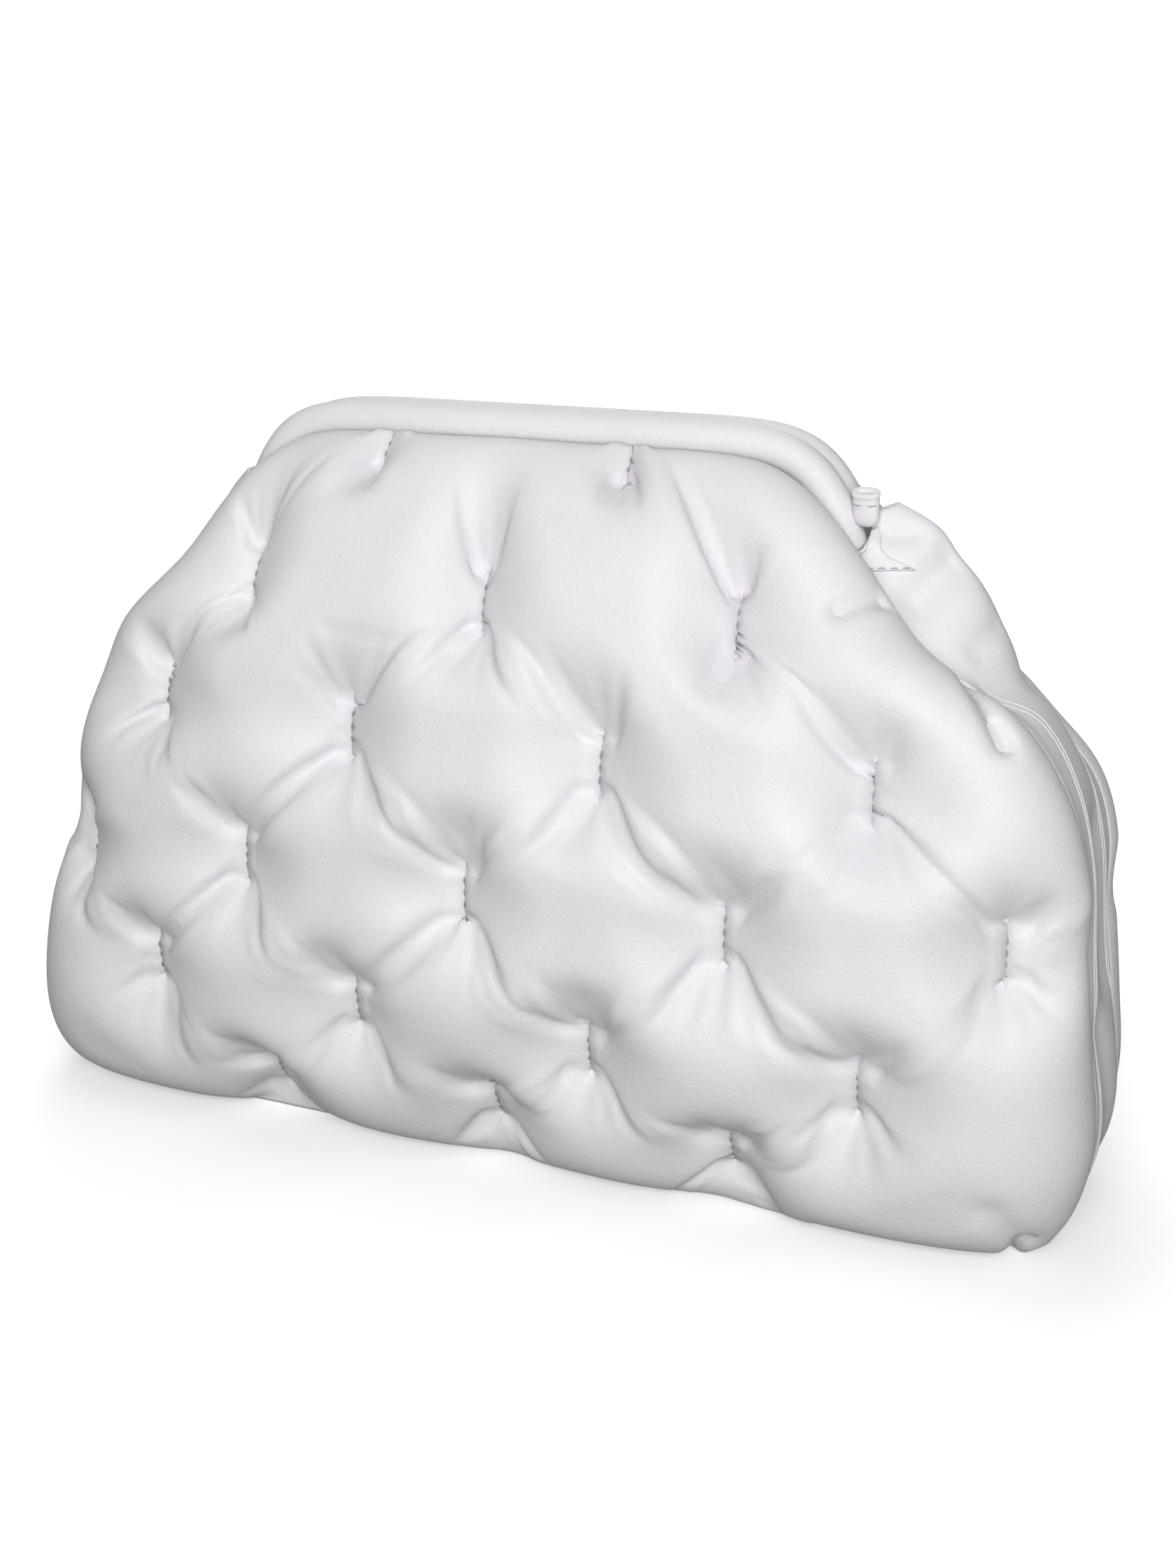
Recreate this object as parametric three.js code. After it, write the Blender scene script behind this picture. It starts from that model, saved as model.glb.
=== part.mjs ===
// A soft leather clutch on a closed two-bar frame, with pinched tucks all over its two panels.
// Millimetres. +X runs along the width, +Y to the back, +Z up; the origin is the middle of the base.
import * as THREE from 'three';

// Driving dimensions
const leather = 1.4; // wall of every leather piece
const gap = 0.3; // clearance between neighbouring pieces
const bagHalfWidth = 175; // middle to the fullest part of an end
const bagHalfDepth = 57.5; // middle to the fullest part of a face
const bagHeight = 226.5; // base to the top of the frame bars
const gussetHalf = 23; // half the full width of a gusset
const gussetBulge = 28; // how far a gusset stands out beyond its seams at the hinge
const frameHalfWidth = 93; // middle to the end of a frame bar
const frameDrop = 28; // how far a bar's end lies below its middle
const archPower = 10; // how square the arch of the frame is
const barHalfThick = 5.15; // half a padded bar, front to back
const barHalfHigh = 5.5; // half a padded bar, across its arch
const seamAngle = 22; // degrees below level where a panel meets its bar
const columnPitch = 38.7; // sideways from one tuck column to the next
const rowPitch = 42.7; // down the panel from one tuck row to the next
const firstRow = 9; // frame seam to the middle of the first row of tucks
const columnShift = -4.3; // tuck columns lie this far to the right of the middle
const pillowCrown = 1.5; // pillows stand this far above the plain form
const valleyDepth = 3; // folds between tucks lie this far below it
const tuckDepth = 3.5; // and the tucks themselves this much deeper
const flatBorder = 20; // the tucked relief fades out this far from a seam
const hingeRadius = 3.2;
const hingeLength = 14;
const tabWidth = 8.2;
const tabThick = 4.6;
const tabHeight = 12;
const tabWall = 1.3; // leather round the tab's tunnel
const tabTunnel = 6; // depth of the tunnel from the top of the tab
const tabLean = 11; // degrees that the tab's foot stands out from its mouth
const tabPlace = 0.955; // where it stands on the arch, as a share of the frame's half width
const tabBelow = 0.6; // share of its height that reaches below that place

// How finely the soft walls are divided
const cellsPerPitch = 4;
const gussetCells = 8;
const curveSamples = 120;
const barSides = 10;
const barSteps = 34;
const roundSides = 16;

// Levels down a panel. Each number is a share: heights of the seam height in the middle and of the
// hinge height at the side, widths from the frame's half width to the bag's, edge from the bars to
// the gusset's half width, depth from the bars to the bag's half depth, and the gusset's ridge out
// from and up above its seam as shares of the gusset's bulge. Roundness and droop are powers.
const levels = [
  { middle: 1.0, side: 1.0, left: 0, right: 0, edge: 0, depth: 0, roundness: 2.4, droop: 10,
    outRight: 1.0, riseRight: 0.29, outLeft: 0.78, riseLeft: 0.11 },
  { middle: 0.982, side: 0.989, left: 0.05, right: 0.06, edge: 0.16, depth: 0.165, roundness: 2.4, droop: 9,
    outRight: 0.93, riseRight: 0.27, outLeft: 0.74, riseLeft: 0.11 },
  { middle: 0.945, side: 0.968, left: 0.12, right: 0.14, edge: 0.36, depth: 0.35, roundness: 2.5, droop: 8,
    outRight: 0.82, riseRight: 0.25, outLeft: 0.68, riseLeft: 0.11 },
  { middle: 0.877, side: 0.926, left: 0.21, right: 0.25, edge: 0.6, depth: 0.56, roundness: 2.6, droop: 6,
    outRight: 0.75, riseRight: 0.18, outLeft: 0.61, riseLeft: 0.07 },
  { middle: 0.808, side: 0.879, left: 0.33, right: 0.38, edge: 0.84, depth: 0.7, roundness: 2.7, droop: 5,
    outRight: 0.61, riseRight: -0.04, outLeft: 0.46, riseLeft: 0 },
  { middle: 0.731, side: 0.821, left: 0.47, right: 0.64, edge: 1, depth: 0.81, roundness: 2.8, droop: 4,
    outRight: 0.18, riseRight: -0.07, outLeft: 0.25, riseLeft: 0 },
  { middle: 0.621, side: 0.711, left: 0.59, right: 0.82, edge: 1, depth: 0.905, roundness: 3, droop: 4,
    outRight: 0.04, riseRight: 0, outLeft: 0.18, riseLeft: 0 },
  { middle: 0.511, side: 0.589, left: 0.67, right: 0.9, edge: 0.92, depth: 0.968, roundness: 3.1, droop: 4,
    outRight: 0.04, riseRight: 0, outLeft: 0.18, riseLeft: 0 },
  { middle: 0.402, side: 0.463, left: 0.75, right: 0.915, edge: 0.92, depth: 1, roundness: 3.2, droop: 4,
    outRight: 0.07, riseRight: 0, outLeft: 0.18, riseLeft: 0 },
  { middle: 0.283, side: 0.326, left: 0.85, right: 0.963, edge: 0.92, depth: 1, roundness: 3.4, droop: 4,
    outRight: 0.07, riseRight: 0, outLeft: 0.21, riseLeft: 0 },
  { middle: 0.174, side: 0.2, left: 0.92, right: 1, edge: 0.92, depth: 0.914, roundness: 3.6, droop: 4,
    outRight: 0.11, riseRight: 0, outLeft: 0.21, riseLeft: 0 },
  { middle: 0.082, side: 0.095, left: 0.94, right: 0.963, edge: 0.84, depth: 0.743, roundness: 4, droop: 4,
    outRight: 0.14, riseRight: 0, outLeft: 0.18, riseLeft: 0 },
  { middle: 0.027, side: 0.032, left: 0.88, right: 0.89, edge: 0.77, depth: 0.572, roundness: 4.8, droop: 4,
    outRight: 0.11, riseRight: 0, outLeft: 0.14, riseLeft: 0 },
  { middle: 0, side: 0, left: 0.8, right: 0.82, edge: 0.77, depth: 0.443, roundness: 5.5, droop: 4,
    outRight: 0.11, riseRight: 0, outLeft: 0.14, riseLeft: 0 },
];

// The top of a gusset, between the two bars: places along the bar as shares of its half width, and
// degrees round the bar from its outer side to its front, and the ridge out from and up above the
// gusset's edge as shares of its bulge.
const mouth = [
  { along: 0.972, around: 0, outRight: 0.25, riseRight: 0.12, outLeft: 0.12, riseLeft: 0.02 },
  { along: 0.986, around: 0, outRight: 0.48, riseRight: 0.16, outLeft: 0.34, riseLeft: 0.02 },
  { along: 1, around: 50, outRight: 0.72, riseRight: 0.22, outLeft: 0.56, riseLeft: 0.06 },
];

// Sizes that follow
const barMiddleY = barHalfThick + gap;
const barMiddleZ = bagHeight - barHalfHigh;
const hingeZ = barMiddleZ - frameDrop;
const seamReach = barHalfHigh + leather / 2 + gap;
const seamY = barMiddleY + seamReach * Math.cos(THREE.MathUtils.degToRad(seamAngle));
const seamZ = barMiddleZ - seamReach * Math.sin(THREE.MathUtils.degToRad(seamAngle));
const seamHalfX = frameHalfWidth - seamReach * Math.sin(THREE.MathUtils.degToRad(seamAngle));
const seamSideY = barMiddleY + barHalfThick + leather + gap;
const seamSideZ = hingeZ - hingeRadius;

// The level at a share of the height, smoothly between the rows of the table.
function levelAt(middle) {
  const last = levels.length - 1;
  let k = 0;
  while (k < last - 1 && levels[k + 1].middle > middle) k += 1;
  const upper = levels[k];
  const lower = levels[k + 1];
  const span = lower.middle - upper.middle;
  const t = THREE.MathUtils.clamp((middle - upper.middle) / span, 0, 1);
  const out = {};
  for (const name of Object.keys(upper)) {
    const slopeAt = (i) => {
      const a = levels[Math.max(i - 1, 0)];
      const b = levels[Math.min(i + 1, last)];
      return ((b[name] - a[name]) / (b.middle - a.middle)) * span;
    };
    const rise = 3 * t * t - 2 * t * t * t;
    out[name] = upper[name] * (1 - rise) + lower[name] * rise
      + slopeAt(k) * (t * t * t - 2 * t * t + t) + slopeAt(k + 1) * (t * t * t - t * t);
  }
  return out;
}

// Real sizes of the level at a share of the height.
function sizesAt(middle) {
  const level = levelAt(middle);
  const spread = bagHalfWidth - seamHalfX;
  return {
    ...level,
    middleZ: seamZ * level.middle,
    sideZ: seamSideZ * level.side,
    leftX: seamHalfX + spread * level.left,
    rightX: seamHalfX + spread * level.right,
    edgeY: seamSideY + (gussetHalf - seamSideY) * level.edge,
    faceY: seamY + (bagHalfDepth - seamY) * level.depth,
  };
}

// Distance down the middle of a panel, as a table of [distance, share of the height].
function measureMiddle() {
  const steps = curveSamples * 4;
  const table = [[0, 1]];
  let before = sizesAt(1);
  for (let i = 1; i <= steps; i += 1) {
    const share = 1 - i / steps;
    const here = sizesAt(share);
    const step = Math.hypot(here.faceY - before.faceY, here.middleZ - before.middleZ);
    table.push([table[i - 1][0] + step, share]);
    before = here;
  }
  return table;
}
const middleTable = measureMiddle();
const panelDrop = middleTable[middleTable.length - 1][0];

function sizesDown(down) {
  const distance = THREE.MathUtils.clamp(down, 0, panelDrop);
  let i = 1;
  while (i < middleTable.length - 1 && middleTable[i][0] < distance) i += 1;
  const [fromDown, fromShare] = middleTable[i - 1];
  const [toDown, toShare] = middleTable[i];
  const t = (distance - fromDown) / Math.max(toDown - fromDown, 1e-9);
  return sizesAt(fromShare + (toShare - fromShare) * t);
}

// One half of a level's curve, from the middle of the face round to the side seam, with the
// distance along it at each point. Side is -1 for the left half and 1 for the right half.
function halfCurve(sizes, side) {
  const reach = side < 0 ? sizes.leftX : sizes.rightX;
  const points = [];
  const along = [0];
  for (let i = 0; i <= curveSamples; i += 1) {
    const angle = (i / curveSamples) * (Math.PI / 2);
    const across = Math.sin(angle) ** (2 / sizes.roundness);
    const deep = Math.max(Math.cos(angle), 0) ** (2 / sizes.roundness);
    const y = -(sizes.edgeY + (sizes.faceY - sizes.edgeY) * deep);
    const z = sizes.middleZ - (sizes.middleZ - sizes.sideZ) * across ** sizes.droop;
    points.push(new THREE.Vector3(side * reach * across, y, z));
    if (i > 0) along.push(along[i - 1] + points[i].distanceTo(points[i - 1]));
  }
  return { points, along, length: along[curveSamples] };
}

// The whole curve of a level: ends, and the point at a signed distance from the middle.
function levelCurve(down) {
  const sizes = sizesDown(down);
  const halves = { '-1': halfCurve(sizes, -1), 1: halfCurve(sizes, 1) };
  const pointAt = (across) => {
    const half = halves[across < 0 ? -1 : 1];
    const distance = Math.min(Math.abs(across), half.length);
    let i = 1;
    while (i < half.along.length - 1 && half.along[i] < distance) i += 1;
    const t = (distance - half.along[i - 1]) / Math.max(half.along[i] - half.along[i - 1], 1e-9);
    return half.points[i - 1].clone().lerp(half.points[i], t);
  };
  return { sizes, left: -halves[-1].length, right: halves[1].length, pointAt };
}

// Height of the tucked relief above the plain form: pillows between folds that run from tuck to
// tuck on a staggered lattice, with each tuck pulled in deeper.
function reliefAt(across, down, left, right) {
  const column = (across - columnShift) / columnPitch + 1;
  const row = (down - firstRow) / rowPitch;
  const a = (Math.PI * (column + row)) / 2;
  const b = (Math.PI * (column - row)) / 2;
  const pillow = Math.abs(Math.sin(a) * Math.sin(b)) ** 0.6;
  const tuck = Math.abs(Math.cos(a) * Math.cos(b)) ** 8;
  const height = pillowCrown * pillow - valleyDepth * (1 - pillow) - tuckDepth * tuck;
  const toSide = Math.min(right - across, across - left) / flatBorder;
  const toEnd = Math.min(down, panelDrop - down) / (1.4 * firstRow);
  return height * Math.min(1, toSide) * Math.min(1, toEnd);
}

// Rows of a panel's outer face, from the frame seam to the middle of the base. Every row's inner
// points lie on the same tuck columns, so the folds run through the points.
function panelRows() {
  const columnCell = columnPitch / cellsPerPitch;
  const rowCell = rowPitch / cellsPerPitch;
  const downs = [0];
  for (let down = firstRow; down < panelDrop - rowCell / 2; down += rowCell) downs.push(down);
  downs.push(panelDrop);
  const rows = downs.map((down) => {
    const curve = levelCurve(down);
    const above = levelCurve(Math.max(down - 1, 0));
    const below = levelCurve(Math.min(down + 1, panelDrop));
    const places = [curve.left];
    const first = Math.ceil((curve.left - columnShift) / columnCell);
    const last = Math.floor((curve.right - columnShift) / columnCell);
    for (let k = first; k <= last; k += 1) {
      const across = columnShift + k * columnCell;
      const clear = Math.min(across - curve.left, curve.right - across);
      if (clear > columnCell / 2) places.push(across);
    }
    places.push(curve.right);
    return places.map((across) => {
      const point = curve.pointAt(across);
      const rightward = curve.pointAt(across + 1).sub(curve.pointAt(across - 1));
      const downward = below.pointAt(across).sub(above.pointAt(across));
      const outward = downward.cross(rightward).normalize();
      const height = reliefAt(across, down, curve.left, curve.right);
      point.addScaledVector(outward, height);
      point.z = Math.max(point.z, 0);
      return { across, height, point };
    });
  });
  rows.push(baseRow(rows[rows.length - 1]));
  return rows;
}

// The last row of a panel: the seam along the middle of the base, under the feet of the gussets.
function baseRow(edgeRow) {
  const sizes = sizesDown(panelDrop);
  const leftEnd = -(sizes.leftX + sizes.outLeft * gussetBulge);
  const rightEnd = sizes.rightX + sizes.outRight * gussetBulge;
  const count = Math.floor(edgeRow.length / 2);
  const from = edgeRow[0].across;
  const to = edgeRow[edgeRow.length - 1].across;
  const row = [];
  for (let k = 0; k <= count; k += 1) {
    const x = leftEnd + ((rightEnd - leftEnd) * k) / count;
    const across = from + ((to - from) * k) / count;
    row.push({ across, height: 0, point: new THREE.Vector3(x, -gap / 2, 0) });
  }
  return row;
}

// Triangles between two neighbouring rows, which may differ in how many points they hold. A cell
// is split along its deeper diagonal, so that the folds stay sharp.
function zipRows(upper, lower, upperStart, lowerStart) {
  const triangles = [];
  let i = 0;
  let j = 0;
  while (i < upper.length - 1 || j < lower.length - 1) {
    const nextUpper = i < upper.length - 1 ? upper[i + 1].across : Infinity;
    const nextLower = j < lower.length - 1 ? lower[j + 1].across : Infinity;
    let takeLower = nextLower < nextUpper;
    if (Math.abs(nextLower - nextUpper) < 1e-6) {
      takeLower = upper[i].height + lower[j + 1].height < upper[i + 1].height + lower[j].height;
    }
    if (takeLower) {
      triangles.push([upperStart + i, lowerStart + j, lowerStart + j + 1]);
      j += 1;
    } else {
      triangles.push([upperStart + i, lowerStart + j, upperStart + i + 1]);
      i += 1;
    }
  }
  return triangles;
}

// A wall of even thickness behind rows of points: outer face, inner face and the rim round both.
function shellFromRows(rows, thickness) {
  const starts = [];
  const outer = [];
  for (const row of rows) {
    starts.push(outer.length);
    for (const place of row) outer.push(place.point);
  }
  const face = [];
  for (let r = 0; r < rows.length - 1; r += 1) {
    face.push(...zipRows(rows[r], rows[r + 1], starts[r], starts[r + 1]));
  }
  const inner = offsetPoints(outer, face, thickness);
  const count = outer.length;
  const triangles = face.slice();
  for (const [a, b, c] of face) triangles.push([a + count, c + count, b + count]);
  for (const [a, b] of rimEdges(rows, starts)) {
    triangles.push([b, a, a + count], [b, a + count, b + count]);
  }
  return solidGeometry(outer.concat(inner), triangles);
}

function rimEdges(rows, starts) {
  const last = rows.length - 1;
  const loop = [];
  for (let r = 0; r <= last; r += 1) loop.push(starts[r]);
  for (let k = 1; k < rows[last].length; k += 1) loop.push(starts[last] + k);
  for (let r = last - 1; r >= 0; r -= 1) loop.push(starts[r] + rows[r].length - 1);
  for (let k = rows[0].length - 2; k > 0; k -= 1) loop.push(starts[0] + k);
  return loop.map((point, k) => [point, loop[(k + 1) % loop.length]]);
}

function offsetPoints(points, triangles, distance) {
  const normals = points.map(() => new THREE.Vector3());
  for (const [a, b, c] of triangles) {
    const side = points[b].clone().sub(points[a]);
    const normal = side.cross(points[c].clone().sub(points[a]));
    for (const k of [a, b, c]) normals[k].add(normal);
  }
  return points.map((point, k) => point.clone().addScaledVector(normals[k].normalize(), -distance));
}

function solidGeometry(points, triangles) {
  const geometry = new THREE.BufferGeometry();
  geometry.setAttribute('position', new THREE.Float32BufferAttribute(points.flatMap((p) => p.toArray()), 3));
  geometry.setIndex(triangles.flat());
  geometry.computeVertexNormals();
  return geometry;
}

// Moves a front piece to the back: mirrored through the middle plane, with its faces turned round.
function mirroredToBack(geometry) {
  const mirrored = geometry.clone();
  mirrored.scale(1, -1, 1);
  const index = Array.from(mirrored.index.array);
  for (let k = 0; k < index.length; k += 3) [index[k + 1], index[k + 2]] = [index[k + 2], index[k + 1]];
  mirrored.setIndex(index);
  mirrored.computeVertexNormals();
  return mirrored;
}

// A point of the frame's arch, and the direction out of it, at a share of the frame's half width.
function archPoint(share) {
  const drop = frameDrop * Math.abs(share) ** archPower;
  return new THREE.Vector3(frameHalfWidth * share, 0, barMiddleZ - drop);
}

function archOutward(share) {
  const slope = (archPower * frameDrop * Math.abs(share) ** (archPower - 1)) / frameHalfWidth;
  return new THREE.Vector3(Math.sign(share) * slope, 0, 1).normalize();
}

// A padded bar: an oval section carried along the arch and closed at both ends.
function barGeometry(middleY) {
  const fine = [];
  for (let k = -curveSamples; k <= curveSamples; k += 1) {
    const t = Math.abs(k) / curveSamples;
    fine.push(archPoint(Math.sign(k) * (1 - (1 - t) ** 2)));
  }
  const path = new THREE.CatmullRomCurve3(fine).getSpacedPoints(barSteps);
  const points = [];
  const triangles = [];
  for (const middle of path) {
    const outward = archOutward(middle.x / frameHalfWidth);
    for (let s = 0; s < barSides; s += 1) {
      const angle = (2 * Math.PI * s) / barSides;
      const point = middle.clone().addScaledVector(outward, barHalfHigh * Math.sin(angle));
      point.y = middleY + barHalfThick * Math.cos(angle);
      points.push(point);
    }
  }
  for (let r = 0; r < barSteps; r += 1) {
    for (let s = 0; s < barSides; s += 1) {
      const next = (s + 1) % barSides;
      const here = r * barSides;
      const beyond = here + barSides;
      triangles.push([here + s, beyond + s, beyond + next], [here + s, beyond + next, here + next]);
    }
  }
  const end = barSteps * barSides;
  for (let s = 1; s < barSides - 1; s += 1) {
    triangles.push([0, s, s + 1], [end, end + s + 1, end + s]);
  }
  return outwardGeometry(points, triangles);
}

// Turns a closed mesh's triangles round if they face inwards.
function outwardGeometry(points, triangles) {
  let volume = 0;
  for (const [a, b, c] of triangles) volume += points[a].dot(points[b].clone().cross(points[c]));
  const turned = volume < 0 ? triangles.map(([a, b, c]) => [a, c, b]) : triangles;
  return solidGeometry(points, turned);
}

// Rows of a gusset's outer face, from the top between the bars down to the base. Each row swells
// from the front seam to a ridge in the middle and back to the rear seam.
function gussetRows(side) {
  const out = side < 0 ? 'outLeft' : 'outRight';
  const rise = side < 0 ? 'riseLeft' : 'riseRight';
  const rows = mouth.map((place) => {
    const share = side * place.along;
    const turn = THREE.MathUtils.degToRad(place.around);
    const clear = leather + 3 * gap;
    const edge = archPoint(share).addScaledVector(archOutward(share), (barHalfHigh + clear) * Math.cos(turn));
    const edgeY = barMiddleY + (barHalfThick + clear) * Math.sin(turn);
    return ridgeRow(side, Math.abs(edge.x), edgeY, edge.z, place[out], place[rise]);
  });
  const rowCell = rowPitch / cellsPerPitch;
  const downs = [0];
  for (let down = firstRow; down < panelDrop - rowCell / 2; down += rowCell) downs.push(down);
  downs.push(panelDrop);
  const foot = leather + gap;
  for (const down of downs) {
    const sizes = sizesDown(down);
    const edgeX = side < 0 ? sizes.leftX : sizes.rightX;
    const edgeZ = Math.max(sizes.sideZ, foot);
    const inset = gap + leather * THREE.MathUtils.smoothstep(down, panelDrop - rowPitch, panelDrop - rowCell);
    rows.push(ridgeRow(side, edgeX, sizes.edgeY - gap - inset, edgeZ, sizes[out], sizes[rise]));
  }
  return rows;
}

function ridgeRow(side, edgeX, edgeY, edgeZ, out, rise) {
  const row = [];
  for (let k = 0; k <= gussetCells; k += 1) {
    const across = (2 * k) / gussetCells - 1;
    const swell = (1 - across * across) * gussetBulge;
    const x = side * (edgeX + out * swell);
    row.push({ across, height: 0, point: new THREE.Vector3(x, side * across * edgeY, edgeZ + rise * swell) });
  }
  return row;
}

// A plain knuckle across the ends of the two bars.
function hingeGeometry() {
  return new THREE.CylinderGeometry(hingeRadius, hingeRadius, hingeLength, roundSides);
}

// A small folded tab: an oval loop with a tunnel open at the top and a rounded tongue below.
function tabGeometry() {
  const points = [];
  const triangles = [];
  const rings = [
    { height: tabHeight, grow: 0, wall: tabWall },
    { height: tabHeight - tabTunnel, grow: 0, wall: tabWall },
    { height: tabHeight, grow: 0, wall: 0 },
    { height: tabHeight * 0.4, grow: 0, wall: 0 },
    { height: tabHeight * 0.12, grow: 0, wall: 0.6 },
    { height: 0, grow: 0, wall: 1.6 },
  ];
  const order = [1, 0, 2, 3, 4, 5];
  for (const r of order) {
    const { height, wall } = rings[r];
    for (let s = 0; s < roundSides; s += 1) {
      const angle = (2 * Math.PI * s) / roundSides;
      const x = (tabWidth / 2 - wall) * Math.cos(angle);
      const y = (tabThick / 2 - Math.min(wall, tabWall)) * Math.sin(angle);
      points.push(new THREE.Vector3(x, y, height));
    }
  }
  for (let r = 0; r < order.length - 1; r += 1) {
    for (let s = 0; s < roundSides; s += 1) {
      const next = (s + 1) % roundSides;
      const here = r * roundSides;
      const beyond = here + roundSides;
      triangles.push([here + s, beyond + s, beyond + next], [here + s, beyond + next, here + next]);
    }
  }
  const end = (order.length - 1) * roundSides;
  for (let s = 1; s < roundSides - 1; s += 1) {
    triangles.push([0, s, s + 1], [end, end + s + 1, end + s]);
  }
  return outwardGeometry(points, triangles);
}

// Finishes
const whiteLeather = new THREE.MeshStandardMaterial({ color: 0xe6e1e6, roughness: 0.5, metalness: 0 });
const hingeMetal = new THREE.MeshStandardMaterial({ color: 0xb0b0b4, roughness: 0.35, metalness: 1 });

function piece(name, geometry, material) {
  const mesh = new THREE.Mesh(geometry, material.clone());
  mesh.name = name;
  return mesh;
}

const bag = new THREE.Group();
const frontPanel = shellFromRows(panelRows(), leather);
bag.add(piece('front_panel', frontPanel, whiteLeather));
bag.add(piece('back_panel', mirroredToBack(frontPanel), whiteLeather));
bag.add(piece('frame_front', barGeometry(-barMiddleY), whiteLeather));
bag.add(piece('frame_back', barGeometry(barMiddleY), whiteLeather));
for (const [name, side] of [['left', -1], ['right', 1]]) {
  bag.add(piece(`gusset_${name}`, shellFromRows(gussetRows(side), leather), whiteLeather));
  const hinge = piece(`hinge_${name}`, hingeGeometry(), hingeMetal);
  hinge.position.set(side * frameHalfWidth, 0, hingeZ - 2 * gap - hingeRadius);
  bag.add(hinge);
}
const tab = piece('tab', tabGeometry(), whiteLeather);
const beside = archPoint(tabPlace).addScaledVector(archOutward(tabPlace), barHalfHigh + tabWidth / 2 + 2 * gap);
const lean = THREE.MathUtils.degToRad(tabLean);
tab.position.set(beside.x + (tabHeight / 2) * Math.sin(lean), -barMiddleY - tabThick / 2, beside.z);
tab.position.z -= tabHeight * tabBelow;
tab.rotation.y = -lean;
bag.add(tab);

// The origin is the middle of the whole bag's base.
const middleX = new THREE.Box3().setFromObject(bag, true).getCenter(new THREE.Vector3()).x;
for (const mesh of bag.children) mesh.position.x -= middleX;

export default bag;
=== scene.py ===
# A white leather clutch: two tucked panels on a padded frame of two bars, with a wide soft gusset at
# each end and a small leather loop beside the frame. Metres; +X runs along the width, +Y to the back.
from math import cos, pi, radians, sin

import bmesh
import bpy
import numpy as np
from mathutils import Matrix, Vector


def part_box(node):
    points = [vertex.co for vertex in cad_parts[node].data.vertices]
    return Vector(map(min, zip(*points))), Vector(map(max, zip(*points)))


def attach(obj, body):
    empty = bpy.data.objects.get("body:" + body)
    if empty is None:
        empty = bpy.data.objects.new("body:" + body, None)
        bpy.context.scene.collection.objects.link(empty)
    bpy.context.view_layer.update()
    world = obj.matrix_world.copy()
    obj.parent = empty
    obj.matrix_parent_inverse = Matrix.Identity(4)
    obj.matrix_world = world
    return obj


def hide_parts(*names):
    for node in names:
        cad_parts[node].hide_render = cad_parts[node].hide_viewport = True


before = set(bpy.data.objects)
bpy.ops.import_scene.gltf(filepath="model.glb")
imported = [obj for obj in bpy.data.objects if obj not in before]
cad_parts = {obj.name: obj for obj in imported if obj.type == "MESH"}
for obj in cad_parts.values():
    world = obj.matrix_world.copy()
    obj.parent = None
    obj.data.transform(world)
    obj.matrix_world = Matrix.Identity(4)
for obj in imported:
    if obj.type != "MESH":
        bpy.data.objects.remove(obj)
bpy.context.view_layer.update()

def named(columns, *rows):
    """Rows of values as dictionaries with the columns' names."""
    return [dict(zip(columns, row)) for row in rows]


# Sizes of the bag, as in the part
LEATHER = 0.0014
GAP = 0.0003
BAG_HALF_WIDTH = 0.175
BAG_HALF_DEPTH = 0.0575
BAG_HEIGHT = 0.2265
GUSSET_HALF = 0.023
GUSSET_BULGE = 0.028
FRAME_HALF_WIDTH = 0.093
FRAME_DROP = 0.028
ARCH_POWER = 10
BAR_HALF_THICK = 0.00515
BAR_HALF_HIGH = 0.0055
SEAM_ANGLE = radians(22)
HINGE_RADIUS = 0.0032
COLUMN_PITCH = 0.0387
ROW_PITCH = 0.0427
TAB_LEAN = radians(11)

# The back's right shoulder hangs lower than the front's
SLUMP = {"x": 0.147, "z": 0.153, "reach": 0.024, "back": 0.025, "move": (-0.0058, 0, -0.0052)}

# The tucked leather before it is sewn
TUCK_LENGTH = 0.016
TUCK_TAKE = 0.011  # leather sewn away in each tuck
TUCK_SINK = 0.007  # tucks are held this far below the plain form
TUCK_MARGIN = 0.4  # share of a grid row that a tuck may reach past its ends
TUCK_TIP = 0.97  # a tuck stops narrowing at this share of the way to its ends
TUCK_POCKET = 3  # the leather folded inside a tuck reaches in by its width over this
DART_EASE = 0.034  # tucks are held less deep nearer the frame than this
DART_CLOSED = 0.05  # share of a dart's width that is left in the frame seam
FULLNESS = 1.045  # width of the leather compared with the plain form
EASE = 1.06  # and its length down the panel
SEAM_EASE = 0.03  # the extra leather fades out this far from a seam
BACK_UNEVENNESS = 0.0015  # the back's tucks lie at most this far from the front's places
FRONT_SEED = 4
BACK_SEED = 9
BACK_PLACES_SEED = 7

# How the leather settles
DEEPEST = 0.009  # folds stay within this far below the plain form
HIGHEST = 0.008  # and about this far above it
DEEPEST_HOLD = 0.5  # share of the way back in each pass where a fold is too deep
HIGHEST_HOLD = 0.05  # and where it is too high
LENGTH_STIFFNESS = 0.9
SHEAR_STIFFNESS = 0.3
FOLD_REACH = 0.010  # distance over which the leather resists a fold
FOLD_STIFFNESS = 0.12
CREASE_STIFFNESS = 1.5 * FOLD_STIFFNESS  # against folds only two cells wide
TUCK_HOLD = 0.8  # share of the way that a tuck's edges close in each pass
FILL_PRESS = 0.000008  # push of the filling in each pass
FILL_COLUMNS = 193  # on a grid of this many columns
CALM = 0.9  # share of the motion that is kept from one pass to the next
GRID_LEVELS = named(("rows", "columns", "passes"), (46, 73, 400), (91, 145, 250), (181, 289, 120))

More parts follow.
